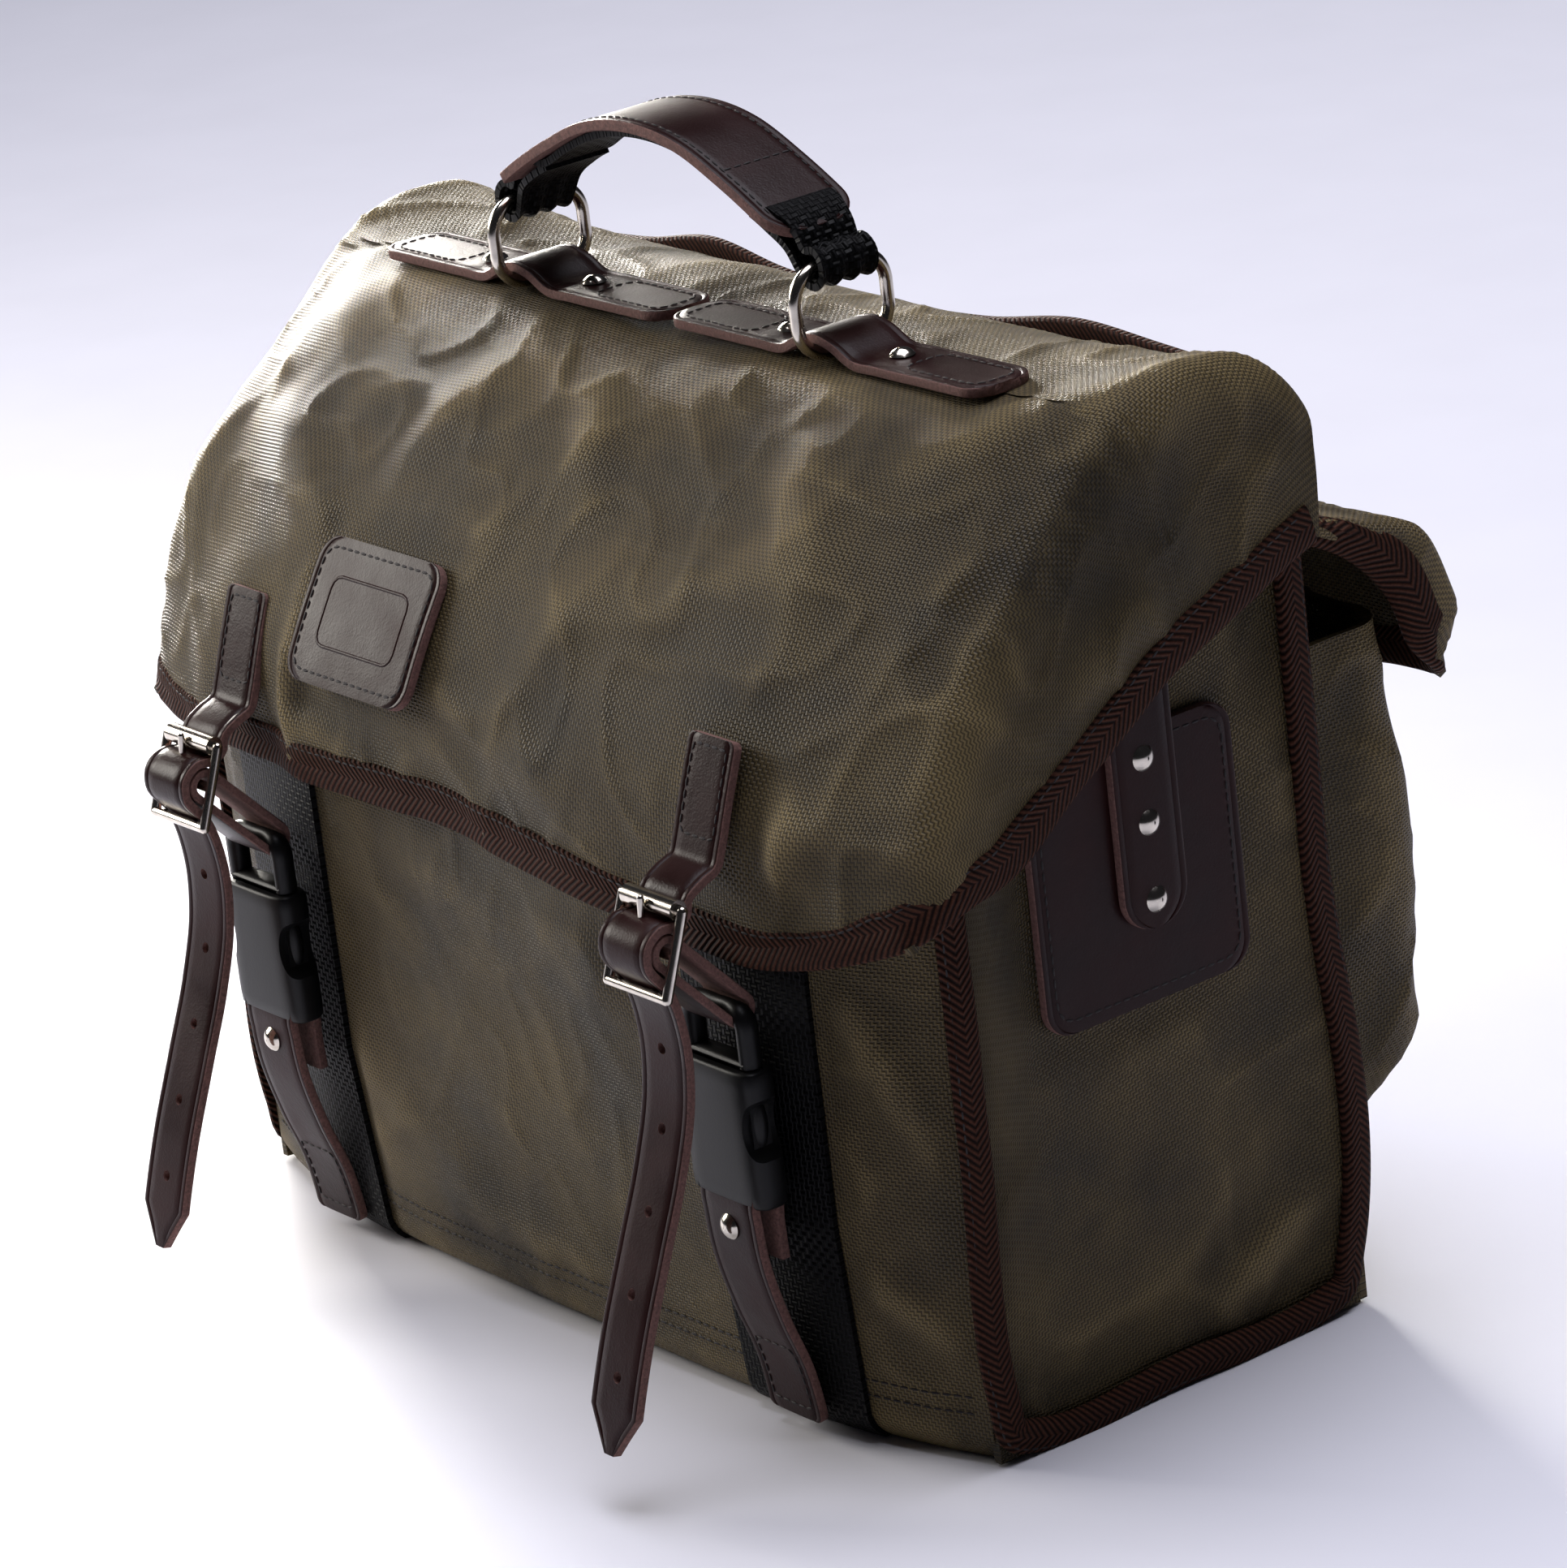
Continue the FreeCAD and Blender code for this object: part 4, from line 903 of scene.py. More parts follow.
def flap_grid():
    thick, dents, creases = settings()
    middle = [(71.4, 287), (46, 296.5), (16, 298), (-20, 296), (-72, 250), (-99, 204), (-104, 160)]
    end = [(71.4, 286), (55, 303), (34, 306.5), (-27, 265), (-63, 224), (-87, 184), (-91.5, 162)]
    hem = [(71.4, 244), (48, 236), (14, 222), (-20, 200), (-51, 179), (-79, 166.5), (-91.5, 162)]
    edge = [(-198, 1), (-172, -1), (-128, 6), (-83, 6), (-14, 5), (43, 1), (78, -4), (105, -6),
            (143, -8), (165, -6), (189, 0), (198, 2)]
    grid = hood_grid(middle, end, hem, 197.0, 150.0, edge, 112, 190)
    normal = grid_normals(grid, (0, 0, 120))
    move = crumple(grid, 1, dents * 1.15, creases * 1.3)
    folds = [((150, -55, 262), (40, -78, 236), 3.0, 12), ((60, -60, 258), (20, -92, 214), 2.2, 11),
             ((175, -80, 200), (110, -101, 175), 3.4, 11), ((90, -100, 196), (150, -96, 186), 2.6, 9),
             ((140, -40, 280), (188, 20, 300), 3.0, 12), ((-150, -50, 266), (-90, -84, 232), 3.2, 14),
             ((-185, -30, 270), (-180, -80, 196), 2.4, 12), ((0, -30, 292), (30, -66, 250), 2.6, 10),
             ((-40, -36, 288), (-70, -66, 250), 2.4, 10), ((100, -30, 288), (130, -62, 254), 2.8, 11),
             ((-120, -98, 200), (-60, -100, 186), 2.0, 10), ((10, -99, 200), (60, -99, 184), 2.4, 10),
             ((197, 20, 250), (196, -40, 214), 2.0, 9)]
    move = move + folded(grid, folds)
    spots = [((s * 75, 2, 299), (70, 11, 9), 16) for s in (-1, 1)]
    spots += [((s * 119, -100, 190), (18, 12, 32), 14) for s in (-1, 1)]
    spots += [((-51, -92, 216), (30, 26, 25), 12)]
    wing = np.clip((np.abs(grid[..., 0]) - 188) / 8, 0, 1)
    low = -4.5 + 3.3 * wing
    keep = calm(grid, spots)
    rear = np.clip((72 - grid[..., 1]) / 22.0, 0, 1)
    move = np.clip(move, low, 5.5 - 2.0 * wing) * keep * rear
    sag = 3.0 * np.exp(-((grid[..., 0] / 46.0) ** 2)) * np.exp(-(((grid[..., 1] - 6) / 40.0) ** 2))
    grid = grid + normal * move[..., None]
    grid[..., 2] -= sag * (grid[..., 2] > 280)
    return grid, grid_normals(grid, (0, 0, 120))


def make_flap():
    thick = settings()[0]
    grid, normal = flap_grid()
    made = shell("flap_cloth", grid, thick, "waxed_cotton_duck", (0, 0, 120))
    dressed(made, "flap", "waxed_canvas", "flap_canvas")
    edge, inward, out, fall = hood_edge(grid, normal)
    tape = bound("flap_tape", edge, inward, out, fall, "flap", thick)
    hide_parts("flap_binding")
    inner = edge + inward * (fall[:, 3:, 0] - 1.3) + out * (fall[:, 3:, 1] + 1.0)
    stitches("flap_tape_seam", [list(zip(inner[2:-2], out[2:-2]))], "flap", 0.36)


def make_badge():
    """A plain patch with a stitched border and a pressed frame."""
    top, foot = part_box("badge")[1] / MM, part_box("badge")[0] / MM
    lower, upper = Vector((-51, foot[1] + 1.2, foot[2] + 0.9)), Vector((-51, top[1] - 1.2, top[2] - 0.9))
    middle = (lower + upper) / 2 + Vector((0, -0.7, 0.5))
    patch = Strip([lower, middle, upper], (1, 0, 0), (0, -1, 0.6), 64, 3.0, ends=(8, 8))
    made = patch.build("badge_leather", LEATHER)
    dressed(made, "flap", "strap_leather", "badge")
    stitches("badge_seam", [on_strip(patch, box_line(-28.5, 28.5, 3.5, patch.length - 3.5, 5))], "flap",
             0.42)
    ring = on_strip(patch, box_line(-20, 20, 12, patch.length - 12, 4), -0.15)
    centres = np.array([p for p, _ in ring[:-1]])
    out = np.array([n for _, n in ring[:-1]])
    tangent = unit(np.roll(centres, -1, axis=0) - np.roll(centres, 1, axis=0))
    side = unit(np.cross(tangent, out))
    profile = np.array([(0.7 * math.cos(a), 0.45 * math.sin(a)) for a in np.arange(8) * math.pi / 4])
    made = loft("badge_frame", centres, side, out, np.repeat([profile], len(centres), axis=0),
                LEATHER[:1], [0] * 8, closed=True)
    dressed(made, "flap", "strap_leather")


# ---- closures ---------------------------------------------------------------
def yz(node):
    """Middle of a CAD node in y and z, in millimetres."""
    low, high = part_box(node)
    return ((low[1] + high[1]) / 2 / MM, (low[2] + high[2]) / 2 / MM)


def turned(centre, radius, degrees):
    a = math.radians(degrees)
    return (centre[0] + radius * math.cos(a), centre[1] + radius * math.sin(a))


def closure_path():
    """The strap in (y, z): sewn end, behind the roller, over the loop, behind the foot bar, and down."""
    roller = yz("right_buckle_roller")
    foot = (roller[0] - 9.0, roller[1] - 24.0)
    centre = ((roller[0] + foot[0]) / 2, (roller[1] + foot[1]) / 2)
    path = [(-92.6, 217.0), (-96.4, 207), (-100.0, 197), (-103.2, 188), (-105.2, 183.4), (-111.6, 180.4)]
    path += [turned(roller, 4.8, a) for a in (10, -35, -80)]
    path += [turned(centre, 7.4, a) for a in (105, 150, 190)]
    path += [turned(foot, 3.4, 10)]
    fall = ((7.0, 0.118), (6.0, 0.25), (0.0, 0.404), (-9.0, 0.566), (-19.5, 0.757), (-29.8, 1.0))
    drop = foot[1] - 16.0
    return path + [(foot[0] + out, foot[1] - drop * share) for out, share in fall], centre


def pointed(distance):
    """Half width of a strap near its pointed tip."""
    return np.where(distance < 15.0, 1.2 + distance * 0.68, 99.0)


def cylinder(shape, point, way, radius, depth, stretch=1.0):
    """Adds a cylinder about a point to a bmesh, stretched along its own Y."""
    turn = Vector(way).to_track_quat("Z", "Y").to_matrix().to_4x4()
    place = Matrix.Translation(Vector(point) * MM) @ turn @ Matrix.Diagonal((1, stretch, 1, 1))
    bmesh.ops.create_cone(shape, cap_ends=True, segments=28, radius1=radius * MM, radius2=radius * MM,
                          depth=depth * MM, matrix=place)


def block(shape, low, high):
    """Adds a box to a bmesh."""
    low, high = Vector(low) * MM, Vector(high) * MM
    place = Matrix.Translation((low + high) / 2) @ Matrix.Diagonal((*(high - low), 1))
    bmesh.ops.create_cube(shape, size=1.0, matrix=place)


def cut_out(obj, shape, material, angle=40.0):
    """Cuts a bmesh out of a piece. The cut faces get the material."""
    data = bpy.data.meshes.new("cutter")
    shape.to_mesh(data)
    shape.free()
    data.materials.append(finish(material))
    tool = bpy.data.objects.new("cutter", data)
    bpy.context.scene.collection.objects.link(tool)
    cut = obj.modifiers.new("cut", "BOOLEAN")
    cut.operation, cut.object, cut.solver = "DIFFERENCE", tool, "EXACT"
    cut.material_mode = "TRANSFER"
    graph = bpy.context.evaluated_depsgraph_get()
    graph.update()
    result = bpy.data.meshes.new_from_object(obj.evaluated_get(graph))
    obj.modifiers.clear()
    result.set_sharp_from_angle(angle=math.radians(angle))
    obj.data = result
    bpy.data.objects.remove(tool)


def make_clip(side, x, sign):
    """Socket with side windows, plug frame of round bars, and the two arms' buttons."""
    socket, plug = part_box(side + "_clip_socket"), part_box(side + "_clip_plug")
    y = (socket[0][1] + socket[1][1]) / 2 / MM
    z0, z1, top = socket[0][2] / MM, socket[1][2] / MM, plug[1][2] / MM
    steps = [(0.0, 15.6, 4.4), (0.5, 16.8, 5.4), (1.6, 17.6, 6.0), (5, 17.9, 6.2), (14, 17.7, 6.3), (26, 17.2, 6.2),
             (38, 17.6, 6.1), (42, 17.5, 6.0), (42.8, 17.0, 5.5), (43.0, 16.4, 4.9)]
    angles = np.arange(48) * math.pi / 24
    ring = np.stack([np.sign(np.cos(angles)) * np.abs(np.cos(angles)) ** 0.36,
                     np.sign(np.sin(angles)) * np.abs(np.sin(angles)) ** 0.62], axis=1)
    sections = np.array([ring * (w, d) for _, w, d in steps])
    centres = np.array([(x, y, z0 + lift) for lift, _, _ in steps])
    ahead = np.repeat([[1.0, 0, 0]], len(steps), axis=0), np.repeat([[0, -1.0, 0]], len(steps), axis=0)
    made = loft(side + "_socket_shell", centres, *ahead, sections, ["moulded_acetal"], [0] * 48)
    shape = bmesh.new()
    block(shape, (x - 13, y - 5.75, z0 - 1), (x + 13, y + 8, z0 + 9))
    block(shape, (x - 13.8, y - 3.3, z0 + 12), (x + 13.8, y + 3.3, z1 + 1))
    for hand in (-1, 1):
        cylinder(shape, (x + hand * 18.6, y, z1 - 18), (0, 1, 0), 6.2, 16, 1.55)
    cut_out(made, shape, "moulded_acetal", 45)
    dressed(made, "bag", "clip_plastic", side + "_clip_socket")
    frame_line = [(-12.6, z1 + 0.5), (-12.6, z1 + 9), (-12.4, top - 6.5), (-10.6, top - 3.6), (-7.5, top - 2.6),
                  (0, top - 2.5), (7.5, top - 2.6), (10.6, top - 3.6), (12.4, top - 6.5), (12.6, z1 + 9),
                  (12.6, z1 + 0.5)]
    line = curve([(x + a, y, b) for a, b in frame_line], step=1.2)
    tangent = unit(np.gradient(line, axis=0))
    back = np.repeat([[0, 1.0, 0]], len(line), axis=0)
    wide = np.clip((np.abs(line[:, 0] - x) - 6) / 6.0, 0, 1)
    rim = np.stack([np.cos(np.arange(16) * math.pi / 8), np.sin(np.arange(16) * math.pi / 8)], axis=1)
    sections = np.array([rim * (2.1 + 1.5 * k, 2.2 + 0.7 * k) for k in wide])
    made = loft(side + "_plug_frame", line, back, unit(np.cross(back, tangent)), sections,
                ["moulded_acetal"], [0] * 16)
    dressed(made, side + "_plug", "clip_plastic", side + "_clip_plug")
    made = loft(side + "_plug_foot", np.array([(x + a, y, z1 + 1.6) for a in (-14, -13.4, 0, 13.4, 14)]),
                np.repeat([[0, 1.0, 0]], 5, axis=0), np.repeat([[0, 0, 1.0]], 5, axis=0),
                np.array([rim * k for k in ((2.4, 0.9), (3.7, 1.4), (3.8, 1.5), (3.7, 1.4), (2.4, 0.9))]),
                ["moulded_acetal"], [0] * 16)
    dressed(made, side + "_plug", "clip_plastic")
    for name, hand in (("outer", sign), ("inner", -sign)):
        lifts = np.linspace(-1, 1, 13)
        swell = np.sqrt(np.maximum(1 - lifts**2, 0.004))
        line = np.array([(x + hand * (11.2 + 0.9 * k), y, z1 - 17 + 9.5 * a) for a, k in zip(lifts, swell)])
        made = loft(f"{side}_{name}_arm_button", line, np.repeat([[1.0, 0, 0]], 13, axis=0),
                    np.repeat([[0, 1.0, 0]], 13, axis=0), np.array([rim * (3.4 * k, 2.9 * k) for k in swell]),
                    ["moulded_acetal"], [0] * 16)
        dressed(made, f"{side}_{name}_arm", "clip_plastic", f"{side}_clip_{name}_arm")


def make_closures():
    path, centre = closure_path()
    for side, sign in (("right", 1), ("left", -1)):
        x = sign * 119
        strap = Strip([(x, y, z) for y, z in path], (1, 0, 0), (0, -1, 0.3), 22, 3.0, ends=(2.5, 0),
                      extra=pointed)
        made = strap.build(side + "_closure_strap", LEATHER)
        holes = [strap.place(0, strap.length - 24.5 * n) for n in range(1, 6)]
        shape = bmesh.new()
        for point, way in holes:
            cylinder(shape, point, way, 1.75, 9)
        cut_out(made, shape, "raw_cut_leather_edge")
        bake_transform(made)
        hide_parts(side + "_strap_tab", side + "_strap_tail")
        stitches(side + "_tab_seam", [on_strip(strap, box_line(-7.8, 7.8, 3, 29, 1.2))], "flap", 0.4)
        make_loop(side, x, centre)
        make_lower_strap(side, x)
        make_clip(side, x, sign)


def make_loop(side, x, centre):
    """The short leather loop from the buckle's centre bar to the clip's crossbar."""
    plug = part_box(side + "_clip_plug")
    bar = ((plug[0][1] + plug[1][1]) / 2 / MM, plug[1][2] / MM - 2.4)
    turn = math.degrees(math.atan2(bar[1] - centre[1], bar[0] - centre[0]))
    path = [turned(centre, 4.3, turn + a) for a in range(90, 271, 20)]
    path += [turned(bar, 4.3, turn + a) for a in range(-90, 91, 20)]
    dense = []
    for a, b in zip(path, path[1:] + path[:1]):
        steps = max(int(math.dist(a, b) / 1.5), 1)
        dense += [(x, a[0] + (b[0] - a[0]) * n / steps, a[1] + (b[1] - a[1]) * n / steps) for n in range(steps)]
    line = np.array(dense)
    tangent = unit(np.roll(line, -1, axis=0) - np.roll(line, 1, axis=0))
    across = np.repeat([[1.0, 0, 0]], len(line), axis=0)
    out = unit(np.cross(across, tangent))
    hub = line.mean(axis=0)
    if np.mean(np.sum(out * (line - hub), axis=1)) < 0:
        out = -out
    profile = np.array([(-11, -1.0), (-10.9, 0.9), (-10.2, 1.3), (10.2, 1.3), (10.9, 0.9), (11, -1.0),
                        (10.4, -1.3), (-10.4, -1.3)])
    made = loft(side + "_loop_leather", line, across, out, np.repeat([profile], len(line), axis=0), LEATHER,
                [1, 1, 0, 1, 1, 1, 1, 1], closed=True)
    dressed(made, side + "_closure", "strap_leather", side + "_buckle_loop")


def make_lower_strap(side, x):
    """Up from the front panel's foot, round the clip's bar and riveted to itself."""
    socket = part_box(side + "_clip_socket")
    y, z = (socket[0][1] + socket[1][1]) / 2 / MM, socket[0][2] / MM + 2.2
    foot = z - 2.2
    path = [(y + 4.3, foot * 0.77), (y + 4.0, foot * 0.92)]
    path += [turned((y, z), 4.0, a) for a in (0, 45, 90, 135, 180)]
    path += [(y - 4.0, foot * 0.92), (y - 3.2, foot * 0.8)]
    for share, gap in ((0.53, 7.0), (0.3, 2.4), (0.17, 1.2), (0.07, 0.9)):
        height = foot * share
        face = -72 - (18 + 7 * height / 70) * 0.85 - 2.2
        path.append((face - 1.5 - gap, height))
    strap = Strip([(x, a, b) for a, b in path], (1, 0, 0), (0, 1, 0), 25, 3.0, ends=(0, 2.5))
    made = strap.build(side + "_clip_strap", LEATHER)
    dressed(made, "bag", "strap_leather", side + "_lower_strap")
    end = strap.length
    stitches(side + "_clip_strap_seam", [on_strip(strap, box_line(-9, 9, end - 26, end - 4, 1.2))], "bag", 0.4)


# ---- handle -----------------------------------------------------------------
def make_anchors():
    for side, sign in (("right", 1), ("left", -1)):
        low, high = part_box(side + "_handle_anchor")
        start, end = low[0] / MM, high[0] / MM
        rest, crest, x = low[2] / MM + 1.5, high[2] / MM - 1.5, sign * 75
        path = [(start, rest), (start + 22, rest), (x - 28, rest), (x - 16, rest + 0.3), (x - 7, crest - 1.3),
                (x, crest), (x + 7, crest - 1.3), (x + 16, rest + 0.3), (x + 28, rest), (end - 22, rest),
                (end, rest)]
        strap = Strip([(a, 2, b) for a, b in path], (0, 1, 0), (0, 0, 1), 24, 3.0, ends=(8, 8))
        made = strap.build(side + "_anchor_leather", LEATHER)
        dressed(made, "flap", "strap_leather", side + "_handle_anchor")
        lines = [on_strip(strap, box_line(-8, 8, 4, 38, 4)),
                 on_strip(strap, box_line(-8, 8, strap.length - 38, strap.length - 4, 4))]
        stitches(side + "_anchor_seam", lines, "flap", 0.4)


def make_handle():
    low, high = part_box("handle_leather")
    top, foot, reach = high[2] / MM - 1.75, low[2] / MM + 1.0, high[0] / MM - 0.6
    steps = [(1.0, 0.0), (0.62, 0.56), (0.32, 0.89), (0.0, 1.0)]
    arch = [(-reach * a, foot + (top - foot) * b) for a, b in steps]
    arch += [(-x, z) for x, z in reversed(arch[:-1])]
    strap = Strip([(x, 2, z) for x, z in arch], (0, 1, 0), (0, 0, 1), 32, 3.5, ends=(1.5, 11))
    made = strap.build("handle_grip_leather", LEATHER)
    dressed(made, "handle", "strap_leather", "handle_leather")
    end = strap.length
    lines = [on_strip(strap, [(s * 12.6, 4), (s * 12.6, end - 9)]) for s in (-1, 1)]
    lines += [on_strip(strap, [(-12.6, 4), (12.6, 4)]), on_strip(strap, [(-12.6, 30), (12.6, 30)]),
              on_strip(strap, [(-12.6, end - 9), (0, end - 5), (12.6, end - 9)]),
              on_strip(strap, [(-12.6, end - 32), (12.6, end - 32)])]
    stitches("handle_seam", lines, "handle", 0.4)
    make_handle_webbing(arch)


def make_handle_webbing(arch):
    """Webbing under the grip, down round each ring and back up, bunched where it turns."""
    ring_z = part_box("left_handle_ring")[1][2] / MM - 2.0
    top = curve([(x, z) for x, z in arch], count=25)
    slope = unit(np.gradient(top, axis=0))
    under = [(x + b * 3.2, z - a * 3.2) for (x, z), (a, b) in zip(top, slope)][1:-1:2]
    ring = (-75.0, ring_z)
    wrap = [turned(ring, 5.0, a) for a in (35, 95, 150, 205, 260, 315, 350)]
    back = [(-66.0, ring_z + 5.5), (-58.5, ring_z + 10.4), (-50, ring_z + 14.4)]
    left = list(reversed(back)) + [turned(ring, 5.0, a) for a in (-15, -55, -100, -155, -205, -250, -300)]
    left += [(-69.5, ring_z + 9.5), (-61, ring_z + 15.5)]
    path = left + under[1:-1] + [(-x, z) for x, z in reversed(left)]
    strap = Strip([(x, 2, z) for x, z in path], (0, 1, 0), (0, 0, 1), 24, 2.3, step=1.4)
    pinch = np.exp(-(((np.abs(strap.line[:, 0]) - 75) / 9.0) ** 2)) * (strap.line[:, 2] < ring_z + 14)
    half = 12 - 2.2 * pinch
    sections = []
    for h, p in zip(half, pinch):
        across = np.linspace(-1, 1, 19)
        wave = np.cos(across * 9.4) * 0.8 * p
        top = [(a * h, 1.15 + w) for a, w in zip(across, wave)]
        low = [(a * h, -1.15 + w) for a, w in zip(across[::-1], wave[::-1])]
        sections.append(top + low)
    sections = np.array(sections)
    made = loft("handle_core_webbing", strap.line, strap.across, strap.out, sections,
                ["woven_polypropylene"], [0] * sections.shape[1])
    dressed(made, "handle", "webbing", "handle_webbing")


# ---- rear pocket ------------------------------------------------------------
def make_pocket():
    thick, dents, creases = settings()
    rows = []
    for t in np.linspace(0, 1, 56):
        z = 205 - 150 * t
        depth = np.interp(z, [55, 56.5, 60, 66, 76, 120, 205], [2.0, 14, 26, 35, 42, 42, 39])
        corner = min(14.0, depth * 0.6)
        plan = [(-180, 72.5), (-180, 72.5 + (depth - corner) * 0.5), (-180, 72.5 + depth - corner)]
        for n in range(1, 6):
            a = math.pi - n * math.pi / 10
            plan.append((-180 + corner + corner * math.cos(a), 72.5 + depth - corner + corner * math.sin(a)))
        plan += [(x, 72.5 + depth) for x in (-120, -60, 0)]
        full = plan + [(-x, y) for x, y in reversed(plan[:-1])]
        line = [(x, y) for x, y in full]
        flat = np.array(line)
        run = run_length(flat)
        rows.append([(x, y, z) for x, y in sample(flat, run, np.linspace(0, run[-1], 150))])
    grid = np.array(rows)
    normal = grid_normals(grid, (0, 73, 130))
    move = crumple(grid, 21, dents * 1.4, creases * 1.6)
    keep = np.clip((grid[..., 1] - 76) / 14.0, 0, 1) * np.clip((grid[..., 2] - 56) / 14.0, 0, 1)
    grid = grid + normal * (np.clip(move, -5, 4.0) * keep)[..., None]
    made = shell("pocket_cloth", grid, thick, "waxed_cotton_duck", (0, 73, 130))
    dressed(made, "bag", "waxed_canvas", "rear_pocket")


def make_pocket_flap():
    thick, dents, creases = settings()
    middle = [(-x, z) for x, z in [(75.2, 246.5), (100, 237), (125.5, 224), (131.5, 213), (130.2, 178)]]
    end = [(-x, z) for x, z in [(75.2, 246), (100, 238), (126, 226), (132, 213), (130.0, 179)]]
    hem = [(-x, z) for x, z in [(75.6, 241), (88, 233.5), (106.5, 215), (117, 190), (129.0, 179)]]
    edge = [(-186, 0), (0, -1), (186, 0)]
    grid = hood_grid(middle, end, hem, 186.0, 150.0, edge, 60, 150, pull=0.0)
    grid[..., 1] *= -1
    grid[..., 0] *= -1
    normal = grid_normals(grid, (0, 80, 170))
    move = crumple(grid, 31, dents, creases * 1.3)
    wing = np.clip((np.abs(grid[..., 0]) - 178) / 8, 0, 1)
    keep = np.clip((grid[..., 1] - 77) / 20.0, 0, 1)
    move = np.clip(move, -3.5 + 2.2 * wing, 3.0 - 0.6 * wing) * keep
    grid = grid + normal * move[..., None]
    normal = grid_normals(grid, (0, 80, 170))
    made = shell("pocket_flap_cloth", grid, thick, "waxed_cotton_duck", (0, 80, 170))
    dressed(made, "pocket_flap", "waxed_canvas", "pocket_flap_canvas")
    edge, inward, out, fall = hood_edge(grid, normal)
    tape = bound("pocket_flap_tape", edge, inward, out, fall, "pocket_flap", thick)
    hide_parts("pocket_flap_binding")


# ---- hardware that keeps its CAD mesh ---------------------------------------
def make_hardware():
    """Finishes for the buckles, rings, rivets and boards."""
    kinds = {"polished_nickel_plate": ("buckle_frame", "buckle_roller", "buckle_prong", "handle_ring", "rivets"),
             "pressed_fibre_board": ("board",)}
    for name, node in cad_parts.items():
        for material, words in kinds.items():
            if not any(word in name for word in words):
                continue
            node.data.materials.clear()
            node.data.materials.append(finish(material))
            node.data.polygons.foreach_set("use_smooth", [True] * len(node.data.polygons))


# ---- stage ------------------------------------------------------------------
def area_light(name, place, target, size, power, tint):
    lamp = bpy.data.lights.new(name, "AREA")
    lamp.shape, lamp.size, lamp.size_y = "RECTANGLE", size[0], size[1]
    lamp.energy, lamp.color = power, linear(tint)
    made = bpy.data.objects.new(name, lamp)
    made.location = place
    made.rotation_euler = (Vector(place) - Vector(target)).to_track_quat("Z", "Y").to_euler()
    bpy.context.scene.collection.objects.link(made)
    return made


def make_stage():
    scene = bpy.context.scene
    p = scene.saddlebag_stage
    points = [(x, y, -0.4) for x in (-6000, 6000) for y in (-6000, 6000)]
    floor = make_mesh("studio_floor", points, [(0, 1, 3, 2)], ["matt_paper_roll"])
    floor.data.flip_normals() if floor.data.polygons[0].normal.z < 0 else None
    target = Vector((11.26, 6.66, 148.86)) * MM
    back = Vector((math.sin(p.turn) * math.cos(p.lift), -math.cos(p.turn) * math.cos(p.lift), math.sin(p.lift)))
    right = Vector((math.cos(p.turn), math.sin(p.turn), 0))
    up = right.cross(-back)
    across = right * math.cos(p.roll) - up * math.sin(p.roll)
    upward = right * math.sin(p.roll) + up * math.cos(p.roll)
    lens = bpy.data.cameras.new("camera")
    lens.lens, lens.sensor_width, lens.clip_end = p.lens, 36.0, 40.0
    camera = bpy.data.objects.new("camera", lens)
    turn = Matrix((across, upward, back)).transposed().to_4x4()
    camera.matrix_world = Matrix.Translation(target + back * p.distance) @ turn
    scene.collection.objects.link(camera)
    scene.camera = camera
    key = area_light("left_softbox", (-1.15, -0.6, 0.62), (-0.12, -0.08, 0.2), (0.6, 0.6), p.key, "#fffaf2")
    rim = area_light("left_rim", (-1.25, 0.42, 0.42), (-0.19, 0.0, 0.42), (0.5, 0.5), p.rim, "#fffaf2")
    rim.data.spread = 0.9
    top = area_light("overhead", (-0.2, 0.5, 3.4), (0.0, 0.1, 0.0), (2.8, 2.8), p.top, "#f4f4ff")
    world = bpy.data.worlds.new("studio")
    world.use_nodes = True
    world.node_tree.nodes["Background"].inputs["Color"].default_value = rgba(linear("#dcdcea"))
    world.node_tree.nodes["Background"].inputs["Strength"].default_value = p.world
    scene.world = world
    scene.view_settings.view_transform = "Standard"


# ---- operators and panel ----------------------------------------------------
def operator(name, label, text, work):
    """An operator class that does one piece of work."""
    def execute(self, context):
        work()
        return {"FINISHED"}

    return type("SADDLEBAG_OT_" + name, (bpy.types.Operator,),
                {"bl_idname": "saddlebag." + name, "bl_label": label, "__doc__": text, "execute": execute})


def body_work():
    make_front()
    make_gussets()
    make_back()


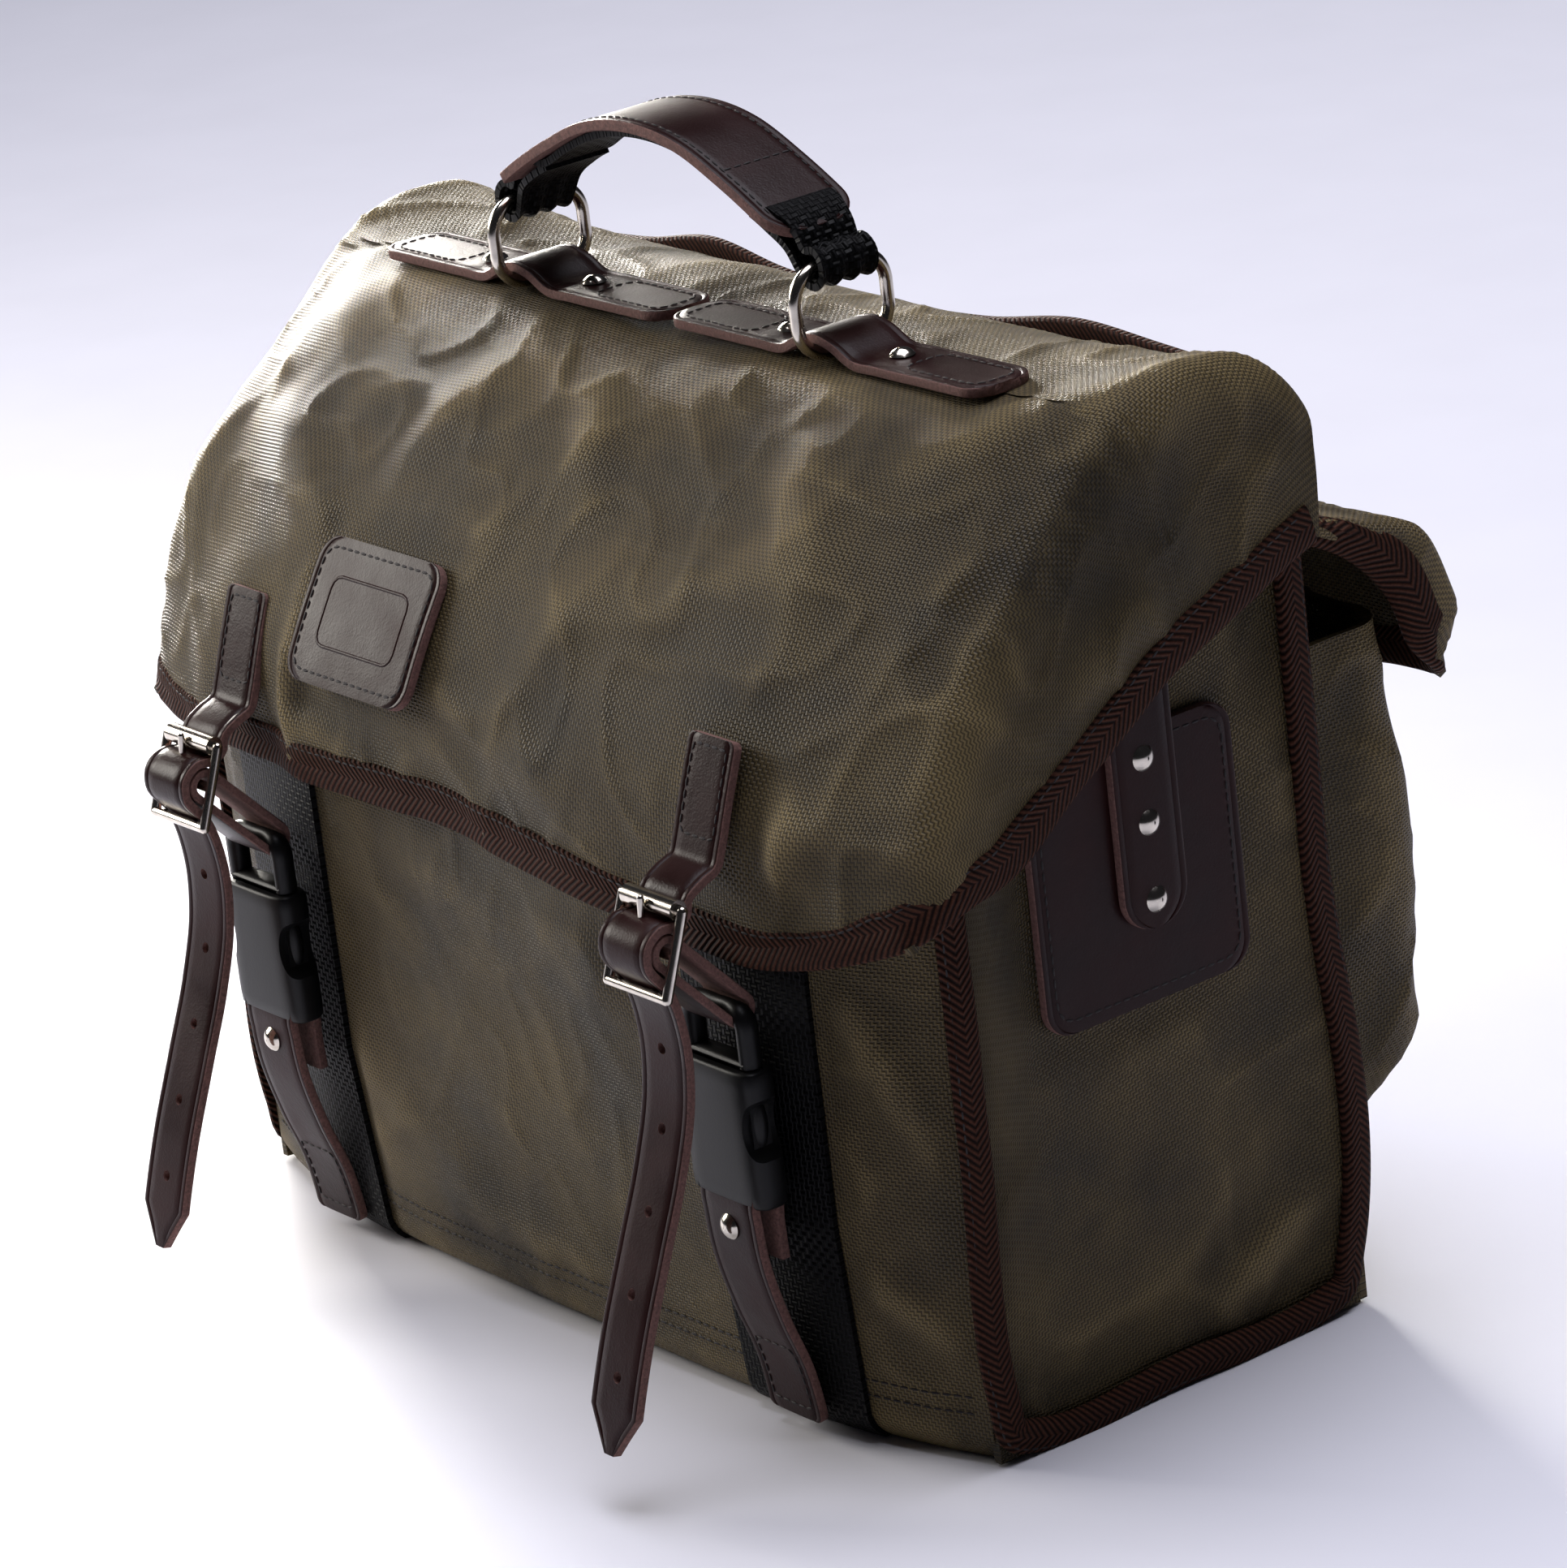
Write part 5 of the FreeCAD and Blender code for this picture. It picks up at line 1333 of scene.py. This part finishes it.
STEPS = [
    operator("body", "Bag body", "Front and base panel, gussets, back panel and their bindings", body_work),
    operator("webbing", "Front webbing", "The two woven straps on the front", make_webbing),
    operator("patches", "Side patches", "The leather patches and straps on the sides", make_side_patches),
    operator("pocket", "Rear pocket", "The pocket on the back", make_pocket),
    operator("pocket_flap", "Pocket flap", "The rear pocket's flap and its binding", make_pocket_flap),
    operator("flap", "Flap", "The main flap and its binding", make_flap),
    operator("badge", "Badge", "The plain leather patch on the flap", make_badge),
    operator("closures", "Closure straps", "Straps, loops and clip straps", make_closures),
    operator("anchors", "Handle anchors", "The leather strips that hold the rings", make_anchors),
    operator("handle", "Handle", "The grip and its webbing", make_handle),
    operator("hardware", "Hardware", "Finishes of buckles, rings, rivets and boards", make_hardware),
    operator("stage", "Stage", "Floor, lights and camera", make_stage),
]


class SADDLEBAG_PT_panel(bpy.types.Panel):
    """Builds the saddlebag step by step"""
    bl_label = "Saddlebag"
    bl_idname = "SADDLEBAG_PT_panel"
    bl_space_type = "VIEW_3D"
    bl_region_type = "UI"
    bl_category = "Saddlebag"

    def draw(self, context):
        for step in STEPS:
            self.layout.operator(step.bl_idname)
        for group in ("saddlebag_sizes", "saddlebag_colours", "saddlebag_stage"):
            box = self.layout.box()
            values = getattr(context.scene, group)
            for key in values.__annotations__:
                box.prop(values, key)


GROUPS = {"saddlebag_sizes": SaddlebagSizes, "saddlebag_colours": SaddlebagColours,
          "saddlebag_stage": SaddlebagStage}


def register():
    for made in (*GROUPS.values(), *STEPS, SADDLEBAG_PT_panel):
        bpy.utils.register_class(made)
    for key, group in GROUPS.items():
        setattr(bpy.types.Scene, key, bpy.props.PointerProperty(type=group))


def unregister():
    for key in GROUPS:
        delattr(bpy.types.Scene, key)
    for made in reversed((*GROUPS.values(), *STEPS, SADDLEBAG_PT_panel)):
        bpy.utils.unregister_class(made)


def main():
    register()
    for step in STEPS:
        getattr(bpy.ops.saddlebag, step.bl_idname.split(".")[1])()


if __name__ == "__main__":
    main()
